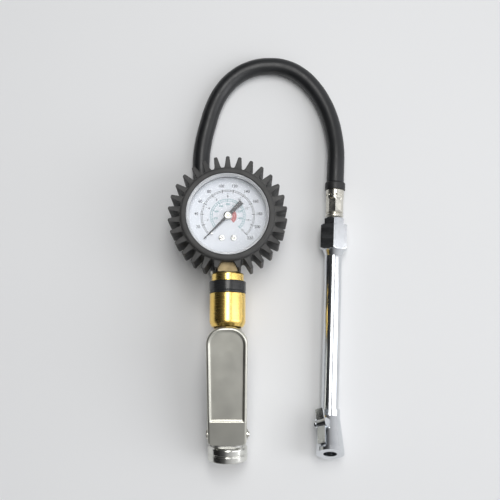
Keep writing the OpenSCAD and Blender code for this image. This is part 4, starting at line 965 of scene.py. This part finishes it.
def softenNodes(s):
    for name, width in s["edges"].items():
        node = nodes[name]
        node.data.shade_smooth()
        edge = node.modifiers.new("edge", "BEVEL")
        edge.width = width * mm
        edge.segments = s["steps"]
        edge.limit_method = "ANGLE"
        edge.angle_limit = radians(35)
        edge.harden_normals = True
        edge.miter_outer = "MITER_ARC"


softenNodes(headSet)
print("inflator: hose ends and chuck done")


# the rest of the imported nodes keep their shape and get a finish

plainNodes = {
    "chromePlate": ["chuck_head", "clip_lever", "clip_pin"],
    "zincSteel": ["gauge_case", "port_ferrule", "inlet_screen", "pin_clip", "clip_spring", "valve_spring",
                  "valve_pin", "hairspring", "stop_pin", "plate_screws"],
    "softBlack": ["lens_gasket", "barrel_oring", "gland_oring", "valve_seal", "chuck_seal"],
    "dialEnamel": ["dial_plate"],
    "dullBrass": ["gauge_socket"],
    "plainBrass": ["bourdon_tube", "tube_tip", "link", "sector_gear", "pinion_shaft", "back_plate",
                   "front_plate", "plate_pillars", "hose_port", "valve_gland", "valve_cap", "core_pin"],
}
for finishName, names in plainNodes.items():
    for name in names:
        nodes[name].data.materials.clear()
        nodes[name].data.materials.append(finishes[finishName])


# floor and light

roomSet = {
    "floor": (0.80, 0.81, 0.82), "size": 12.0, "far": 0.85,
    "lamps": {  # place in metres from the aim, size, watts, colour
        "overhead": ((0.04, 0.20, 1.15), (0.42, 0.9), 6.5, (1.0, 0.99, 0.97)),
        "right": ((1.0, -0.2, 0.75), (0.6, 1.2), 5, (0.97, 0.98, 1.0)),
    },
    "sky": 0.62,
    "skyTones": ((0.12, 0.03), (0.36, 0.16), (0.50, 0.62), (0.70, 0.95), (0.92, 1.25)),   # from left to right
}


def makeRoom(s):
    bm = bmesh.new()
    half = s["size"] / 2
    corners = (-half, -half), (half, -half), (half, half), (-half, half)
    bm.faces.new([bm.verts.new((x, y, 0)) for x, y in corners])
    mesh = bpy.data.meshes.new("tableTop")
    bm.to_mesh(mesh)
    bm.free()
    floor = bpy.data.objects.new("tableTop", mesh)
    scene.collection.objects.link(floor)
    floor.location.z = -0.0002
    floor.data.materials.append(finish("palePaint", {
        "colour": s["floor"], "tone": tuple(c * 1.02 for c in s["floor"]), "toneScale": 3,
        "rough": (0.6, 0.7), "grain": 400, "bump": 0.03, "depth": 0.0001, "shine": 0.3}))
    aim = Vector((gaugeAt.x + cameraSet["aim"][0] * mm, gaugeAt.y + cameraSet["aim"][1] * mm, 0))
    for name, (place, size, watts, colour) in s["lamps"].items():
        data = bpy.data.lights.new(name, "AREA")
        data.shape = "RECTANGLE"
        data.size, data.size_y = size
        data.energy = watts
        data.color = colour
        lamp = bpy.data.objects.new(name, data)
        scene.collection.objects.link(lamp)
        lamp.location = aim + Vector(place)
        lamp.rotation_euler = (-Vector(place)).to_track_quat("-Z", "Y").to_euler()
    world = bpy.data.worlds.new("studio")
    world.use_nodes = True
    scene.world = world
    tree = world.node_tree
    back = tree.nodes["Background"]
    back.inputs["Strength"].default_value = s["sky"]
    where = tree.nodes.new("ShaderNodeTexCoord")
    split = tree.nodes.new("ShaderNodeSeparateXYZ")
    ramp = tree.nodes.new("ShaderNodeValToRGB")         # darker on the left, lighter on the right
    tree.links.new(where.outputs["Generated"], split.inputs["Vector"])
    spread = tree.nodes.new("ShaderNodeMapRange")
    spread.inputs["From Min"].default_value = -1
    spread.inputs["From Max"].default_value = 1
    tree.links.new(split.outputs["X"], spread.inputs["Value"])
    tree.links.new(spread.outputs["Result"], ramp.inputs["Fac"])
    stops = ramp.color_ramp.elements
    for place, tone in s["skyTones"][1:-1]:
        stops.new(place)
    for stop, (place, tone) in zip(stops, s["skyTones"]):
        stop.position = place
        stop.color = (tone, tone, tone * 1.02, 1)
    tree.links.new(ramp.outputs["Color"], back.inputs["Color"])
    plain = tree.nodes.new("ShaderNodeBackground")      # what the camera sees past the floor
    plain.inputs["Color"].default_value = (s["far"], s["far"], s["far"], 1)
    ray = tree.nodes.new("ShaderNodeLightPath")
    either = tree.nodes.new("ShaderNodeMixShader")
    tree.links.new(ray.outputs["Is Camera Ray"], either.inputs["Fac"])
    tree.links.new(back.outputs["Background"], either.inputs[1])
    tree.links.new(plain.outputs["Background"], either.inputs[2])
    tree.links.new(either.outputs["Shader"], tree.nodes["World Output"].inputs["Surface"])


makeRoom(roomSet)
scene.view_settings.view_transform = "Standard"
print("inflator: room lit")
